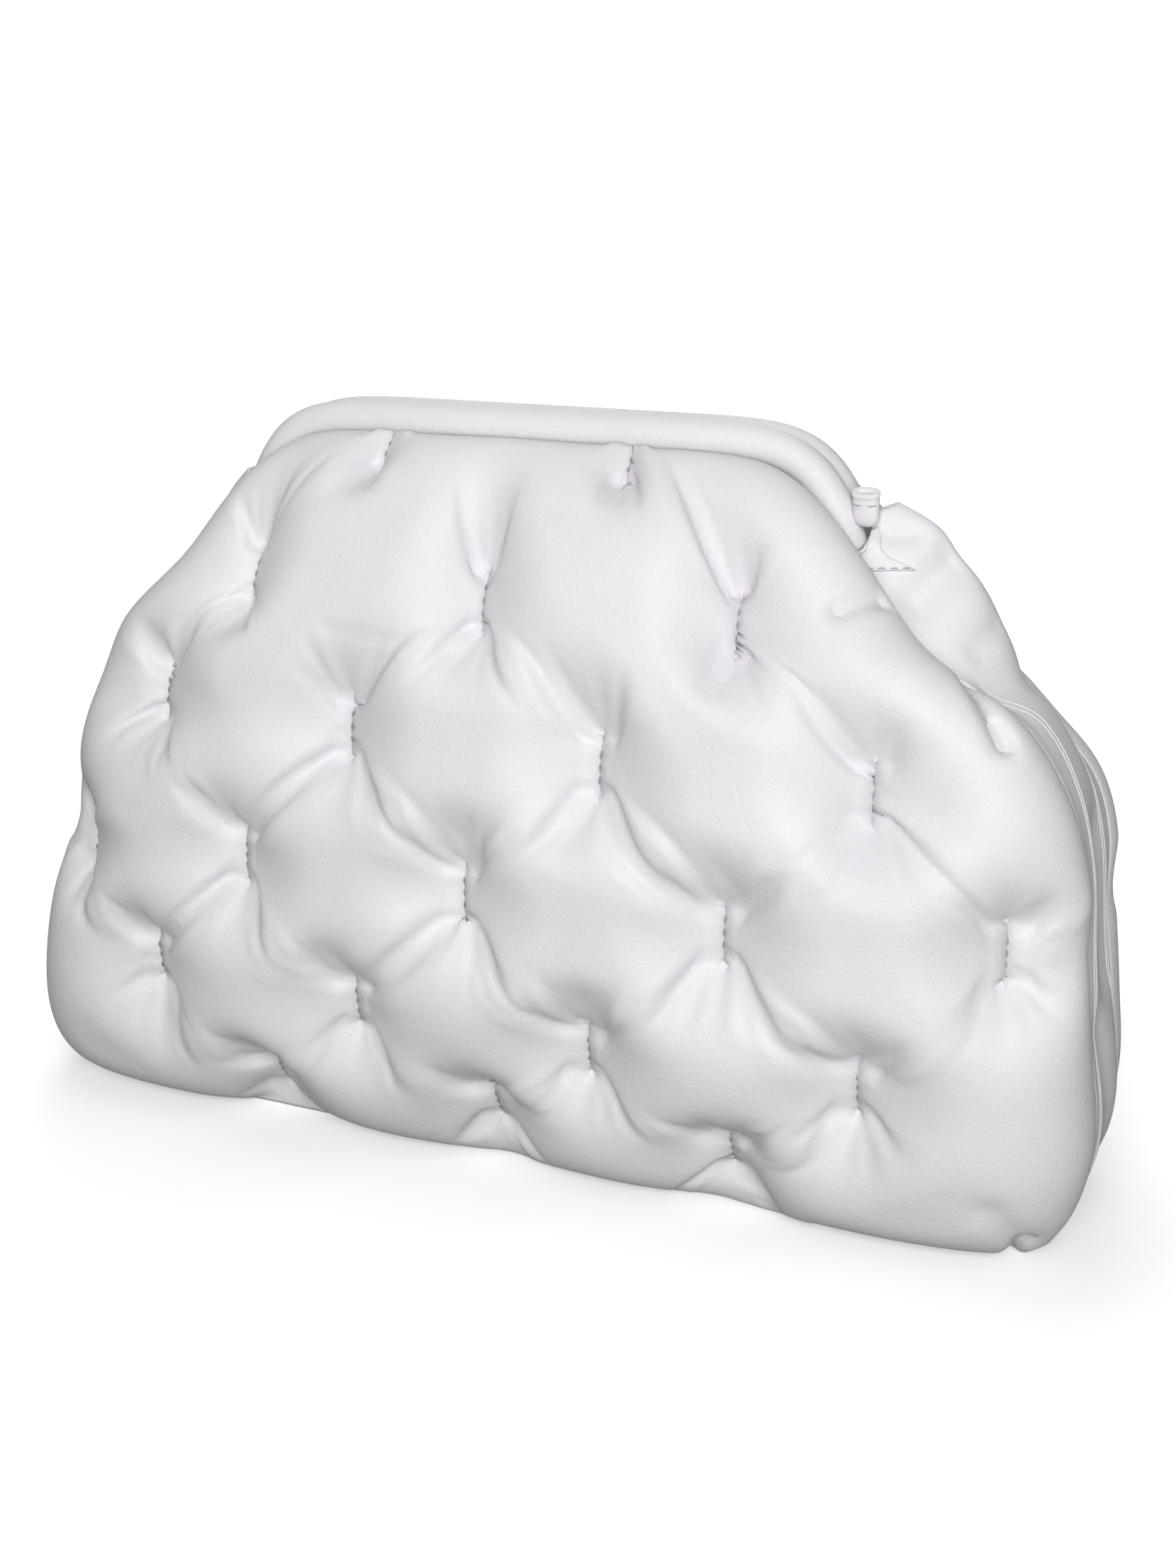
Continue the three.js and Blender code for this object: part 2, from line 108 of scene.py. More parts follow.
# Valleys between neighbouring tucks: those that start the folds, and those pressed in at the end
FIRST_VALLEYS = {"deep": 0.003, "width": 0.006, "level": 1.0, "inward": 1.0, "outward": 1.0}
LAST_VALLEYS = {"deep": 0.0012, "width": 0.008, "level": 1.0, "inward": 0.3, "outward": 0.3}
VALLEY_FADE = 0.5  # share of its depth that a valley loses half way
SAME_ROW = {"down": 0.45, "across": 2.4}  # neighbours in a row lie nearer than this, in pitches
NEXT_ROW = {"from": 0.55, "to": 1.5, "across": 1.5}  # and neighbours in the next row as near as this
ROUGHNESS = 0.0005  # height of the first random unevenness
START_FOLD = 0.005  # depth of a tuck's first dent
START_WIDTH = 0.45  # half width of a tuck's first dent, as a share of the leather it takes
START_FADE = 3  # how slowly that dent fades past the tuck's ends

# The last touches of the relief
BROAD_RELIEF = -0.15  # share of the broad relief that is added: below zero it is evened out
BROAD_PASSES = 30  # passes of evening out that leave only the broad relief
FLUTES = {"angles": (-64, -30, 0, 30, 64), "start": 0.002, "middle": 0.006, "length": 0.009,
          "deep": 0.0012, "width": 0.0015, "spread": 0.15, "unevenness": 0.14, "least": 0.4}
INNER_EVENING = 6  # passes that even out the inner face of a panel

# The camera
CAMERA_PLACE = (0.21541, -0.50521, 0.29858)
CAMERA_WAY = (-0.3513, 0.8789, -0.3226)
CAMERA_ROLL = radians(0.19)
CAMERA_LENS = 43.1
CAMERA_FILM = 36.0
CAMERA_FAR = 50

# Finishes
LEATHER_PALE = (0.71, 0.69, 0.715)
LEATHER_DARK = (0.66, 0.64, 0.67)
LEATHER_ROUGHNESS = 0.5
LEATHER_GLOSS = 0.42
CLOUDS = {"scale": 22, "detail": 4, "dark": 0.3, "pale": 0.7}
PORES = {"scale": 1500, "deep": 0.0002}
WRINKLES = {"scale": 700, "detail": 5, "deep": 0.0003}
GRAIN_STRENGTH = 0.5
METAL_COLOUR = (0.6, 0.6, 0.62)
METAL_STREAKS = {"scale": 900, "smooth": 0.3, "rough": 0.45}
THREAD_DARK = (0.26, 0.25, 0.28)
THREAD_PALE = (0.45, 0.43, 0.46)
THREAD_ROUGHNESS = 0.75
THREAD_TWIST = 1200
PLAIN_DETAIL = 2

# The studio
BACKDROP_AWAY = 6.0
FLOOR_COLOUR = (0.93, 0.93, 0.93)
FLOOR_ROUGHNESS = 0.9
FLOOR_GLOSS = 0.1
FLOOR_NEAR = 0.15
FLOOR_FAR = 0.75
FLOOR_GLOW_NEAR = 0.24
WORLD_LIGHT = 0.17
LIGHTS = named(("name", "place", "size", "power"),
               ("key", (0.42, -1.1, 0.58), 0.9, 17.5),
               ("top", (-0.4, 0.15, 1.3), 0.8, 3.2),
               ("back", (-0.35, 1.1, 0.8), 1.0, 6))

# Levels down a panel, as shares of the sizes above
COLUMNS = ("middle", "side", "left", "right", "edge", "depth", "roundness", "droop",
           "out_right", "rise_right", "out_left", "rise_left")
LEVELS = (
    (1.0, 1.0, 0, 0, 0, 0, 2.4, 10, 1.0, 0.29, 0.6, 0.02),
    (0.982, 0.989, 0.05, 0.06, 0.16, 0.165, 2.4, 9, 0.93, 0.27, 0.62, 0.03),
    (0.945, 0.968, 0.12, 0.14, 0.36, 0.35, 2.5, 8, 0.82, 0.25, 0.6, 0.04),
    (0.877, 0.926, 0.21, 0.25, 0.6, 0.56, 2.6, 6, 0.75, 0.18, 0.55, 0.04),
    (0.808, 0.879, 0.33, 0.38, 0.84, 0.7, 2.7, 5, 0.61, -0.04, 0.46, 0),
    (0.731, 0.821, 0.47, 0.64, 1, 0.81, 2.8, 4, 0.18, -0.07, 0.25, 0),
    (0.621, 0.711, 0.59, 0.82, 1, 0.905, 3.0, 4, 0.04, 0, 0.18, 0),
    (0.511, 0.589, 0.67, 0.9, 0.92, 0.968, 3.1, 4, 0.04, 0, 0.18, 0),
    (0.402, 0.463, 0.75, 0.915, 0.92, 1, 3.2, 4, 0.07, 0, 0.18, 0),
    (0.283, 0.326, 0.85, 0.963, 0.92, 1, 3.4, 4, 0.07, 0, 0.21, 0),
    (0.174, 0.2, 0.92, 1, 0.92, 0.914, 3.6, 4, 0.11, 0, 0.21, 0),
    (0.082, 0.095, 0.94, 0.963, 0.84, 0.743, 4.0, 4, 0.14, 0, 0.18, 0),
    (0.027, 0.032, 0.88, 0.89, 0.77, 0.572, 4.8, 4, 0.11, 0, 0.14, 0),
    (0, 0, 0.8, 0.82, 0.77, 0.443, 5.5, 4, 0.11, 0, 0.14, 0),
)
LEVEL_STEPS = 481  # places down the height at which the panel's middle line is measured

# The top of a gusset, between the bars: place along the bar, degrees round it, ridge out and up
MOUTH = named(("along", "around", "out_right", "rise_right", "out_left", "rise_left"),
              (0.972, 0, 0.25, 0.12, 0.1, 0),
              (0.986, 0, 0.48, 0.16, 0.22, 0),
              (1, 50, 0.72, 0.22, 0.45, 0))
MOUTH_CLEAR = LEATHER + 3 * GAP
MOUTH_EVENING = 60  # passes that round a gusset's inner part off along its length
MOUTH_BLEND = 0.4  # share of the way in from its edges where that is full
GUIDE_ROWS = 60  # levels that guide a gusset's edges below its mouth

# Tucks of the front, as shares of the pitches across from the middle and down from the frame seam
TUCKS = named(("across", "down"),
              (-1.11, 0.14), (0.84, 0.13),
              (-2.08, 1.15), (-0.08, 1.22), (1.84, 1.21),
              (-2.83, 2.10), (-1.08, 2.19), (0.93, 2.23), (2.91, 2.21),
              (-3.76, 3.36), (-2.02, 3.22), (-0.11, 3.25), (1.92, 3.25), (3.94, 3.19),
              (-2.94, 4.18), (-1.07, 4.24), (0.88, 4.28), (2.93, 4.22),
              (-1.99, 5.18), (0.02, 5.0), (1.95, 5.02))

# Creases pressed into the panels: from one place to another, in the same shares of the pitches
CREASES = named(("across", "down", "to_across", "to_down", "width", "deep"),
                (3.5, 1.45, 3.72, 1.84, 0.0035, 0.003),
                (3.66, 1.72, 3.74, 1.86, 0.0016, 0.004),
                (2.55, 1.1, 2.8, 0.9, 0.003, 0.0026),
                (4.0, 5.55, 4.12, 5.2, 0.0022, 0.004),
                (4.1, 5.2, 3.9, 4.85, 0.005, 0.0015),
                (-1.2, 1.53, -0.1, 1.62, 0.0016, 0.0004))

# Dents of the gussets: a valley from one place to another, as shares of the way down and across
DENTS = named(("side", "down", "across", "to_down", "to_across", "width", "deep"),
              (1, 0.119, -0.3, 0.175, -1.05, 0.006, 0.0032),
              (1, 0.035, -0.75, 0.05, -0.5, 0.003, 0.0014),
              (1, 0.205, -0.2, 0.225, -0.6, 0.004, 0.0012),
              (1, 0.30, -0.95, 0.335, 0.95, 0.007, 0.0028),
              (1, 0.52, 0.1, 0.68, 0.2, 0.009, 0.0025),
              (1, 0.73, -0.5, 0.92, -0.1, 0.008, 0.002),
              (-1, 0.12, 0.9, 0.2, -0.4, 0.006, 0.0025),
              (-1, 0.31, -0.9, 0.33, 0.9, 0.007, 0.003),
              (-1, 0.55, -0.3, 0.8, 0.1, 0.009, 0.0025))
DENT_EDGES = 12  # dents fade out over a twelfth of the width at the two long edges
DENT_ENDS = 25  # and over a twenty-fifth of the length at the two ends

# The line that a gusset's seams follow near each panel: shares of the way down and across
SEAM_LINE = named(("down", "across"),
                  (0.275, 0.985), (0.308, 0.62), (0.371, 0.42), (0.484, 0.52), (0.63, 0.62),
                  (0.8, 0.72), (0.955, 0.85))
SEAM_POINTS = 90
LAST_CELL = 1.001  # a place between points stays just inside the grid's last cell
SEAM_EVENING = 6  # points on each side that even the line out
SEAM_BAND = 0.0022
SEAM_RIDGE = 0.00042
SEAM_SUNK = 0.35  # share of a ridge's radius that lies in the leather

# Stitches
STITCH_PITCH = 0.003
STITCH_SHARE = 0.64  # share of the pitch that shows thread
STITCHED = 0.62  # share of a tuck's length that shows stitches
STITCH_BESIDE = 2  # points away from a tuck where the leather's slope is read
THREAD = 0.00016
THREAD_ARCH = 2.4  # rise of a stitch in radii of the thread
THREAD_SUNK = 0.6  # depth of its ends in the same
THREAD_SIDES = 6  # of the thread in the tucks
TUBE_END = 0.5  # a thread narrows to this share at its ends
TUBE_STEEP = 0.9  # a path steeper than this takes its sides from the width, not from above

# The loop beside the frame
TAB_WALL = 0.0013
TAB_RIM = 0.0003
TAB_NARROW = 0.84
TAB_SHORT = 0.74  # height of the loop's rim as a share of its tallest
TAB_TILT = 0.48  # fall of the rim towards the front
TAB_OPEN = 0.5
TAB_ROUND = 2.4
TAB_UPRIGHT = 0.25  # share of the part's lean that is kept
TAB_FOOT = {"high": 0.38, "power": 2.2, "least": 0.04}
TAB_LIP = {"at": 0.955, "width": 0.05, "rise": 0.8}
TAB_TAPER = 0.25  # narrowing of the opening down to its floor
TAB_STEPS = {"wall": 26, "rim": 4, "opening": 7, "round": 44}
TAB_STITCH_BELOW = 0.0031
TAB_STITCH_ARC = (1.08, 1.92)  # from and to, in half turns from the right
ROLL = {"turns": 2.6, "inner": 0.25, "outer": 0.95, "points": 40, "below": 0.0004, "fall": 0.0008,
        "rows": 5, "thick": 0.0003}
TONGUE = named(("left_down", "left", "right_down", "right"),
               (0.02, -0.97, 0.02, -0.88),
               (0.05, -0.96, 0.05, -0.85),
               (0.08, -0.94, 0.085, -0.78),
               (0.1, -0.93, 0.112, -0.67))
TONGUE_POINTS = {"down": 25, "across": 13}  # odd, so that every second one ends at the edge

# Sizes that follow
BAR_MIDDLE_Y = BAR_HALF_THICK + GAP
BAR_MIDDLE_Z = BAG_HEIGHT - BAR_HALF_HIGH
HINGE_Z = BAR_MIDDLE_Z - FRAME_DROP
SEAM_REACH = BAR_HALF_HIGH + LEATHER / 2 + GAP
SEAM_Y = BAR_MIDDLE_Y + SEAM_REACH * cos(SEAM_ANGLE)
SEAM_Z = BAR_MIDDLE_Z - SEAM_REACH * sin(SEAM_ANGLE)
SEAM_HALF_X = FRAME_HALF_WIDTH - SEAM_REACH * sin(SEAM_ANGLE)
SEAM_SIDE_Y = BAR_MIDDLE_Y + BAR_HALF_THICK + LEATHER + GAP
SEAM_SIDE_Z = HINGE_Z - HINGE_RADIUS
TABLE = np.array(LEVELS, float)

# The middle of the frame bars lies this far from the middle of the whole bag
frame_low, frame_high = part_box("frame_front")
MIDDLE_X = (frame_low[0] + frame_high[0]) / 2


def levels_at(share):
    """Every column of the table at shares of the height, smoothly between its rows."""
    mids = TABLE[:, 0]
    last = len(mids) - 1
    k = np.clip(np.searchsorted(-mids, -share, side="right") - 1, 0, last - 1)
    slopes = np.empty_like(TABLE)
    for i in range(last + 1):
        a = max(i - 1, 0)
        b = min(i + 1, last)
        slopes[i] = (TABLE[b] - TABLE[a]) / (mids[b] - mids[a])
    span = (mids[k + 1] - mids[k])[:, None]
    t = np.clip((share - mids[k])[:, None] / span, 0, 1)
    rise = 3 * t ** 2 - 2 * t ** 3
    found = (TABLE[k] * (1 - rise) + TABLE[k + 1] * rise
             + slopes[k] * span * (t ** 3 - 2 * t ** 2 + t) + slopes[k + 1] * span * (t ** 3 - t ** 2))
    return {name: found[:, c] for c, name in enumerate(COLUMNS)}


def sizes_at(share):
    """Real sizes of the levels at shares of the height."""
    level = levels_at(share)
    spread = BAG_HALF_WIDTH - SEAM_HALF_X
    level["middle_z"] = SEAM_Z * level["middle"]
    level["side_z"] = SEAM_SIDE_Z * level["side"]
    level["left_x"] = SEAM_HALF_X + spread * level["left"]
    level["right_x"] = SEAM_HALF_X + spread * level["right"]
    level["edge_y"] = SEAM_SIDE_Y + (GUSSET_HALF - SEAM_SIDE_Y) * level["edge"]
    level["face_y"] = SEAM_Y + (BAG_HALF_DEPTH - SEAM_Y) * level["depth"]
    return level


SHARES = np.linspace(1, 0, LEVEL_STEPS)
middle_line = sizes_at(SHARES)
middle_steps = np.hypot(np.diff(middle_line["face_y"]), np.diff(middle_line["middle_z"]))
MIDDLE_DOWN = np.concatenate([[0], np.cumsum(middle_steps)])
PANEL_DROP = MIDDLE_DOWN[-1]


def sizes_down(downs):
    """The same sizes at distances down the middle of the panel."""
    return sizes_at(np.interp(downs, MIDDLE_DOWN, SHARES))


def half_curves(downs, side, samples=160):
    """Points of each level's curve from the middle of the face round to its side seam."""
    sizes = sizes_down(downs)
    reach = (sizes["left_x"] if side < 0 else sizes["right_x"])[:, None]
    angle = np.linspace(0, pi / 2, samples + 1)[None, :]
    roundness = sizes["roundness"][:, None]
    across = np.sin(angle) ** (2 / roundness)
    deep = np.maximum(np.cos(angle), 0) ** (2 / roundness)
    edge = sizes["edge_y"][:, None]
    face = sizes["face_y"][:, None]
    middle = sizes["middle_z"][:, None]
    low = sizes["side_z"][:, None]
    droop = sizes["droop"][:, None]
    points = np.stack([side * reach * across, -(edge + (face - edge) * deep),
                       middle - (middle - low) * across ** droop], -1)
    steps = np.linalg.norm(np.diff(points, axis=1), axis=-1)
    along = np.concatenate([np.zeros((len(points), 1)), np.cumsum(steps, 1)], 1)
    return points, along


def panel_form(downs, shares):
    """The plain form of a panel at distances down it and shares of its half curves."""
    points = np.empty((len(downs), len(shares), 3))
    across = np.empty((len(downs), len(shares)))
    for side in (-1, 1):
        curve, along = half_curves(downs, side)
        chosen = (shares < 0) if side < 0 else (shares >= 0)
        for i in range(len(downs)):
            want = np.abs(shares[chosen]) * along[i, -1]
            for axis in range(3):
                points[i, chosen, axis] = np.interp(want, along[i], curve[i, :, axis])
            across[i, chosen] = side * want
    return points, across


def distances(line):
    """How far along a line each of its points lies."""
    return np.concatenate([[0], np.cumsum(np.linalg.norm(np.diff(line, axis=0), axis=1))])


def walked(line, along, want):
    """A line's values at wanted distances along it."""
    return np.stack([np.interp(want, along, line[:, c]) for c in range(line.shape[1])], -1)


def above_floor(points):
    """Keeps points from sinking below the floor."""
    points[..., 2] = np.maximum(points[..., 2], 0)
    return points


def off_line(across, down, start, way):
    """The share of the way along a line on the panel, and the distance from it."""
    share = ((across - start[0]) * way[0] + (down - start[1]) * way[1]) / np.linalg.norm(way) ** 2
    share = np.clip(share, 0, 1)
    return share, np.hypot(across - start[0] - share * way[0], down - start[1] - share * way[1])


def from_sides(across):
    """Distance from the nearer side seam."""
    return np.minimum(across[:, -1:] - across, across - across[:, :1])


def grid_normals(points):
    """Outward directions at the points of a grid."""
    rightward = np.gradient(points, axis=1)
    downward = np.gradient(points, axis=0)
    normals = np.cross(downward, rightward)
    return normals / np.maximum(np.linalg.norm(normals, axis=-1, keepdims=True), 1e-12)


def pull(points, free, a, b, rest, stiff):
    """Moves the points of two slices towards their rest distance."""
    way = points[b] - points[a]
    length = np.sqrt((way * way).sum(-1)) + 1e-12
    share = stiff * (length - rest) / length / np.maximum(free[a] + free[b], 1e-9)
    start = points[a] + way * (share * free[a])[..., None]
    points[b] -= way * (share * free[b])[..., None]
    points[a] = start


def unfold(points, free, down, across, rest, stiff):
    """Pushes points a few cells apart away from each other, so that folds stay round."""
    rows, columns, _ = points.shape
    a = (slice(0, rows - down), slice(0, columns - across))
    b = (slice(down, rows), slice(across, columns))
    way = points[b] - points[a]
    length = np.sqrt((way * way).sum(-1)) + 1e-12
    move = (stiff * np.minimum(length - rest, 0) / length)[..., None] * way
    points[a] += move * free[a][..., None]
    points[b] -= move * free[b][..., None]


def reach_tables(rest, axis, cells):
    """Rest distances between points that lie some cells apart along an axis."""
    start = np.zeros_like(rest.take([0], axis))
    total = np.concatenate([start, np.cumsum(rest, axis)], axis)
    size = total.shape[axis]
    return total.take(range(cells, size), axis) - total.take(range(size - cells), axis)


def relax(points, form, normals, rest_x, rest_y, falling, rising, free, tucks, passes):
    """Lets the sewn leather find its folds: it keeps its lengths, resists folding and is filled."""
    rows, columns, _ = points.shape
    every = slice(None)
    cells_x = max(2, int(round(FOLD_REACH / np.median(rest_x))))
    cells_y = max(2, int(round(FOLD_REACH / np.median(rest_y))))
    near_x = reach_tables(rest_x, 1, 2)
    near_y = reach_tables(rest_y, 0, 2)
    far_x = reach_tables(rest_x, 1, cells_x)
    far_y = reach_tables(rest_y, 0, cells_y)
    before = points.copy()
    for _ in range(passes):
        glide = (points - before) * CALM
        before = points.copy()
        points = points + glide * free[..., None]
        height = ((points - form) * normals).sum(-1)
        inside = np.maximum(height, -DEEPEST) - height
        outside = np.minimum(height, HIGHEST) - height
        points += grid_normals(points) * (FILL_PRESS * FILL_COLUMNS / columns * free)[..., None]
        back = DEEPEST_HOLD * inside + HIGHEST_HOLD * outside
        points += normals * (back * free)[..., None]
        for k in (0, 1):
            lefts = slice(k, columns - 1, 2)
            rights = slice(k + 1, columns, 2)
            upper = slice(k, rows - 1, 2)
            lower = slice(k + 1, rows, 2)
            first = slice(0, columns - 1)
            last = slice(1, columns)
            pull(points, free, (every, lefts), (every, rights), rest_x[:, k::2], LENGTH_STIFFNESS)
            pull(points, free, (upper, every), (lower, every), rest_y[k::2], LENGTH_STIFFNESS)
            pull(points, free, (upper, first), (lower, last), falling[k::2], SHEAR_STIFFNESS)
            pull(points, free, (upper, last), (lower, first), rising[k::2], SHEAR_STIFFNESS)
        unfold(points, free, 0, 2, near_x, CREASE_STIFFNESS)
        unfold(points, free, 2, 0, near_y, CREASE_STIFFNESS)
        unfold(points, free, 0, cells_x, far_x, FOLD_STIFFNESS)
        unfold(points, free, cells_y, 0, far_y, FOLD_STIFFNESS)
        for tuck in tucks:
            left = (tuck["rows"], tuck["left"])
            right = (tuck["rows"], tuck["right"])
            middle = (points[left] + points[right]) / 2
            middle += (tuck["spots"] - middle) / 2
            points[left] += (middle - points[left]) * TUCK_HOLD
            points[right] += (middle - points[right]) * TUCK_HOLD
        above_floor(points)
    return points


def doubled(points, axis):
    """Twice the cells along an axis, through smooth middle points."""
    points = np.moveaxis(points, axis, 0)
    before = np.concatenate([2 * points[:1] - points[1:2], points])
    after = np.concatenate([points, 2 * points[-1:] - points[-2:-1]])
    middles = (9 * (points[:-1] + points[1:]) - before[:-2] - after[2:]) / 16
    out = np.empty((2 * len(points) - 1,) + points.shape[1:])
    out[0::2] = points
    out[1::2] = middles
    return np.moveaxis(out, 0, axis)


def sewn_tucks(places, downs, across, form, normals, rest_x):
    """The points that each tuck brings together, and the spots where it is held."""
    tucks = []
    step = downs[1] - downs[0]
    for tuck_across, tuck_down in places:
        low = max(tuck_down - TUCK_LENGTH / 2, 0) - TUCK_MARGIN * step
        high = tuck_down + TUCK_LENGTH / 2 + TUCK_MARGIN * step
        rows = np.flatnonzero((downs >= low) & (downs <= high))
        middle = np.abs(across[rows] - tuck_across).argmin(1)
        cell = rest_x[rows, np.minimum(middle, rest_x.shape[1] - 1)]
        from_middle = np.clip(np.abs(downs[rows] - tuck_down) / (TUCK_LENGTH / 2), 0, TUCK_TIP)
        take = TUCK_TAKE * np.sqrt(1 - from_middle ** 2)
        if low < 0:
            take = TUCK_TAKE * np.sqrt(1 - np.clip(downs[rows] / high, 0, TUCK_TIP) ** 2)
        half = np.maximum(1, np.round(take / 2 / cell).astype(int))
        middle = np.clip(middle, half + 1, rest_x.shape[1] - 1 - half)
        spots = np.empty((len(rows), 3))
        for i, row in enumerate(rows):
            sink = TUCK_SINK * min(downs[row] / DART_EASE, 1)
            for axis in range(3):
                sunk = form[row, :, axis] - sink * normals[row, :, axis]
                spots[i, axis] = np.interp(tuck_across, across[row], sunk)
        tucks.append({"rows": rows, "left": middle - half, "right": middle + half, "spots": spots})
    return tucks


def seam_with_darts(form_row, step_x, rest_row, tucks):
    """The top row along the frame seam, with the darts that start there already closed."""
    rest_row = rest_row.copy()
    for tuck in tucks:
        if tuck["rows"][0] == 0:
            rest_row[tuck["left"][0]:tuck["right"][0]] *= DART_CLOSED
    along = np.concatenate([[0], np.cumsum(rest_row)])
    seam = np.concatenate([[0], np.cumsum(step_x)])
    return walked(form_row, seam, along / along[-1] * seam[-1])


def close_tucks(points, normals, tucks):
    """Shuts each tuck: its edges meet, and the leather between them is folded inside."""
    for tuck in tucks:
        for row, left, right in zip(tuck["rows"], tuck["left"], tuck["right"]):
            middle = (points[row, left] + points[row, right]) / 2
            count = right - left
            step = np.linalg.norm(points[row, left] - points[row, left - 1])
            sunk = np.sin(pi * np.arange(count + 1) / count) * step * count / TUCK_POCKET
            points[row, left:right + 1] = middle - normals[row, left:right + 1] * sunk[:, None]
    return above_floor(points)


def loose_lengths(form, across, down):
    """Cell sizes of the leather before it is sewn: a little larger than the form, not at its seams."""
    step_x = np.linalg.norm(np.diff(form, axis=1), axis=-1)
    step_y = np.linalg.norm(np.diff(form, axis=0), axis=-1)
    loose = np.clip(from_sides(across) / SEAM_EASE, 0, 1) * np.clip(down / SEAM_EASE, 0, 1)
    loose *= np.clip((PANEL_DROP - down) / SEAM_EASE, 0, 1)
    loose = loose * loose * (3 - 2 * loose)
    rest_x = step_x * (1 + (FULLNESS - 1) * (loose[:, 1:] + loose[:, :-1]) / 2)
    rest_y = step_y * (1 + (EASE - 1) * (loose[1:] + loose[:-1]) / 2)
    slack = 1 + ((FULLNESS + EASE) / 2 - 1) * loose[1:, 1:]
    falling = slack * np.linalg.norm(form[1:, 1:] - form[:-1, :-1], axis=-1)
    rising = slack * np.linalg.norm(form[1:, :-1] - form[:-1, 1:], axis=-1)
    return step_x, rest_x, rest_y, falling, rising


def valleys(places, across, down, kind):
    """Soft valleys between neighbouring tucks."""
    total = np.zeros_like(across)
    for i, a in enumerate(places):
        for b in places[i + 1:]:
            way = np.array(b) - np.array(a)
            pitches = np.abs(way) / (COLUMN_PITCH, ROW_PITCH)
            same_row = pitches[1] < SAME_ROW["down"] and pitches[0] < SAME_ROW["across"]
            next_row = NEXT_ROW["from"] < pitches[1] < NEXT_ROW["to"] and pitches[0] < NEXT_ROW["across"]
            next_row = next_row and a[1] > ROW_PITCH / 2
            if not (same_row or next_row):
                continue
            share, off = off_line(across, down, a, way)
            inward = way[0] * (a[0] + b[0]) < 0
            slant = "level" if same_row else "inward" if inward else "outward"
            size = kind[slant] * (1 - VALLEY_FADE * np.sin(pi * share))
            total = np.maximum(total, size * np.exp(-(off / kind["width"]) ** 2))
    return kind["deep"] * total


def first_folds(form, normals, across, down, places, free, seed):
    """The panel just before the leather settles: rough, with a dent at each tuck."""
    rough = np.random.default_rng(seed).standard_normal(across.shape)
    height = ROUGHNESS * rough - valleys(places, across, down, FIRST_VALLEYS)
    for tuck_across, tuck_down in places:
        beside = ((across - tuck_across) / (START_WIDTH * TUCK_TAKE)) ** 2
        beyond = (np.maximum(np.abs(down - tuck_down) - TUCK_LENGTH / 2, 0) / TUCK_LENGTH) ** 2
        height -= START_FOLD * np.exp(-beside - beyond / START_FADE)
    return form + normals * (height * free)[..., None]


def softened(points, passes):
    """The same grid with its small folds evened out, its border kept."""
    points = points.copy()
    for _ in range(passes):
        beside = points[:-2, 1:-1] + points[2:, 1:-1] + points[1:-1, :-2] + points[1:-1, 2:]
        points[1:-1, 1:-1] = beside / 4
    return points


def flutes(places, across, down, seed):
    """Short soft folds that spread from both ends of every tuck."""
    chance = np.random.default_rng(seed)
    depth = np.zeros_like(across)
    for tuck_across, tuck_down in places:
        right = across - tuck_across
        for end in (-1, 1):
            beyond = (down - tuck_down) * end - TUCK_LENGTH / 2 + FLUTES["start"]
            for angle in FLUTES["angles"]:
                turn = radians(angle) + chance.normal(0, FLUTES["unevenness"])
                size = chance.uniform(FLUTES["least"], 1)
                along = beyond * cos(turn) + right * sin(turn)
                off = right * cos(turn) - beyond * sin(turn)
                wide = FLUTES["width"] + FLUTES["spread"] * np.maximum(along, 0)
                fade = np.exp(-((along - FLUTES["middle"]) / FLUTES["length"]) ** 2)
                depth = np.maximum(depth, size * fade * np.exp(-(off / wide) ** 2))
    return FLUTES["deep"] * depth


def touched_up(points, form, normals, across, down, places, seed):
    """Evens the broad relief out a little, and presses in the last valleys and the flutes."""
    from_ends = np.minimum(down, PANEL_DROP - down)
    away = np.clip(np.minimum(from_sides(across), from_ends) / SEAM_EASE, 0, 1)
    height = BROAD_RELIEF * softened(((points - form) * normals).sum(-1), BROAD_PASSES)
    height -= softened(valleys(places, across, down, LAST_VALLEYS), BROAD_PASSES)
    height -= flutes(places, across, down, seed)
    return above_floor(points + normals * ((height - height.mean()) * away)[..., None])


def creased(points, normals, across, down):
    """Presses the creases into a panel."""
    depth = np.zeros_like(across)
    for crease in CREASES:
        start = np.array([crease["across"] * COLUMN_PITCH, crease["down"] * ROW_PITCH])
        way = np.array([crease["to_across"] * COLUMN_PITCH, crease["to_down"] * ROW_PITCH]) - start
        off = off_line(across, down, start, way)[1]
        depth += crease["deep"] * np.exp(-(off / crease["width"]) ** 2)
    return above_floor(points - normals * depth[..., None])


def slumped(points):
    """The back's right shoulder, which hangs a little lower than the front's."""
    away = np.hypot(points[..., 0] - SLUMP["x"], points[..., 2] - SLUMP["z"]) / SLUMP["reach"]
    behind = np.clip(points[..., 1] / SLUMP["back"], 0, 1)
    size = np.exp(-away ** 2) * behind ** 2 * (3 - 2 * behind)
    return points + size[..., None] * np.array(SLUMP["move"])


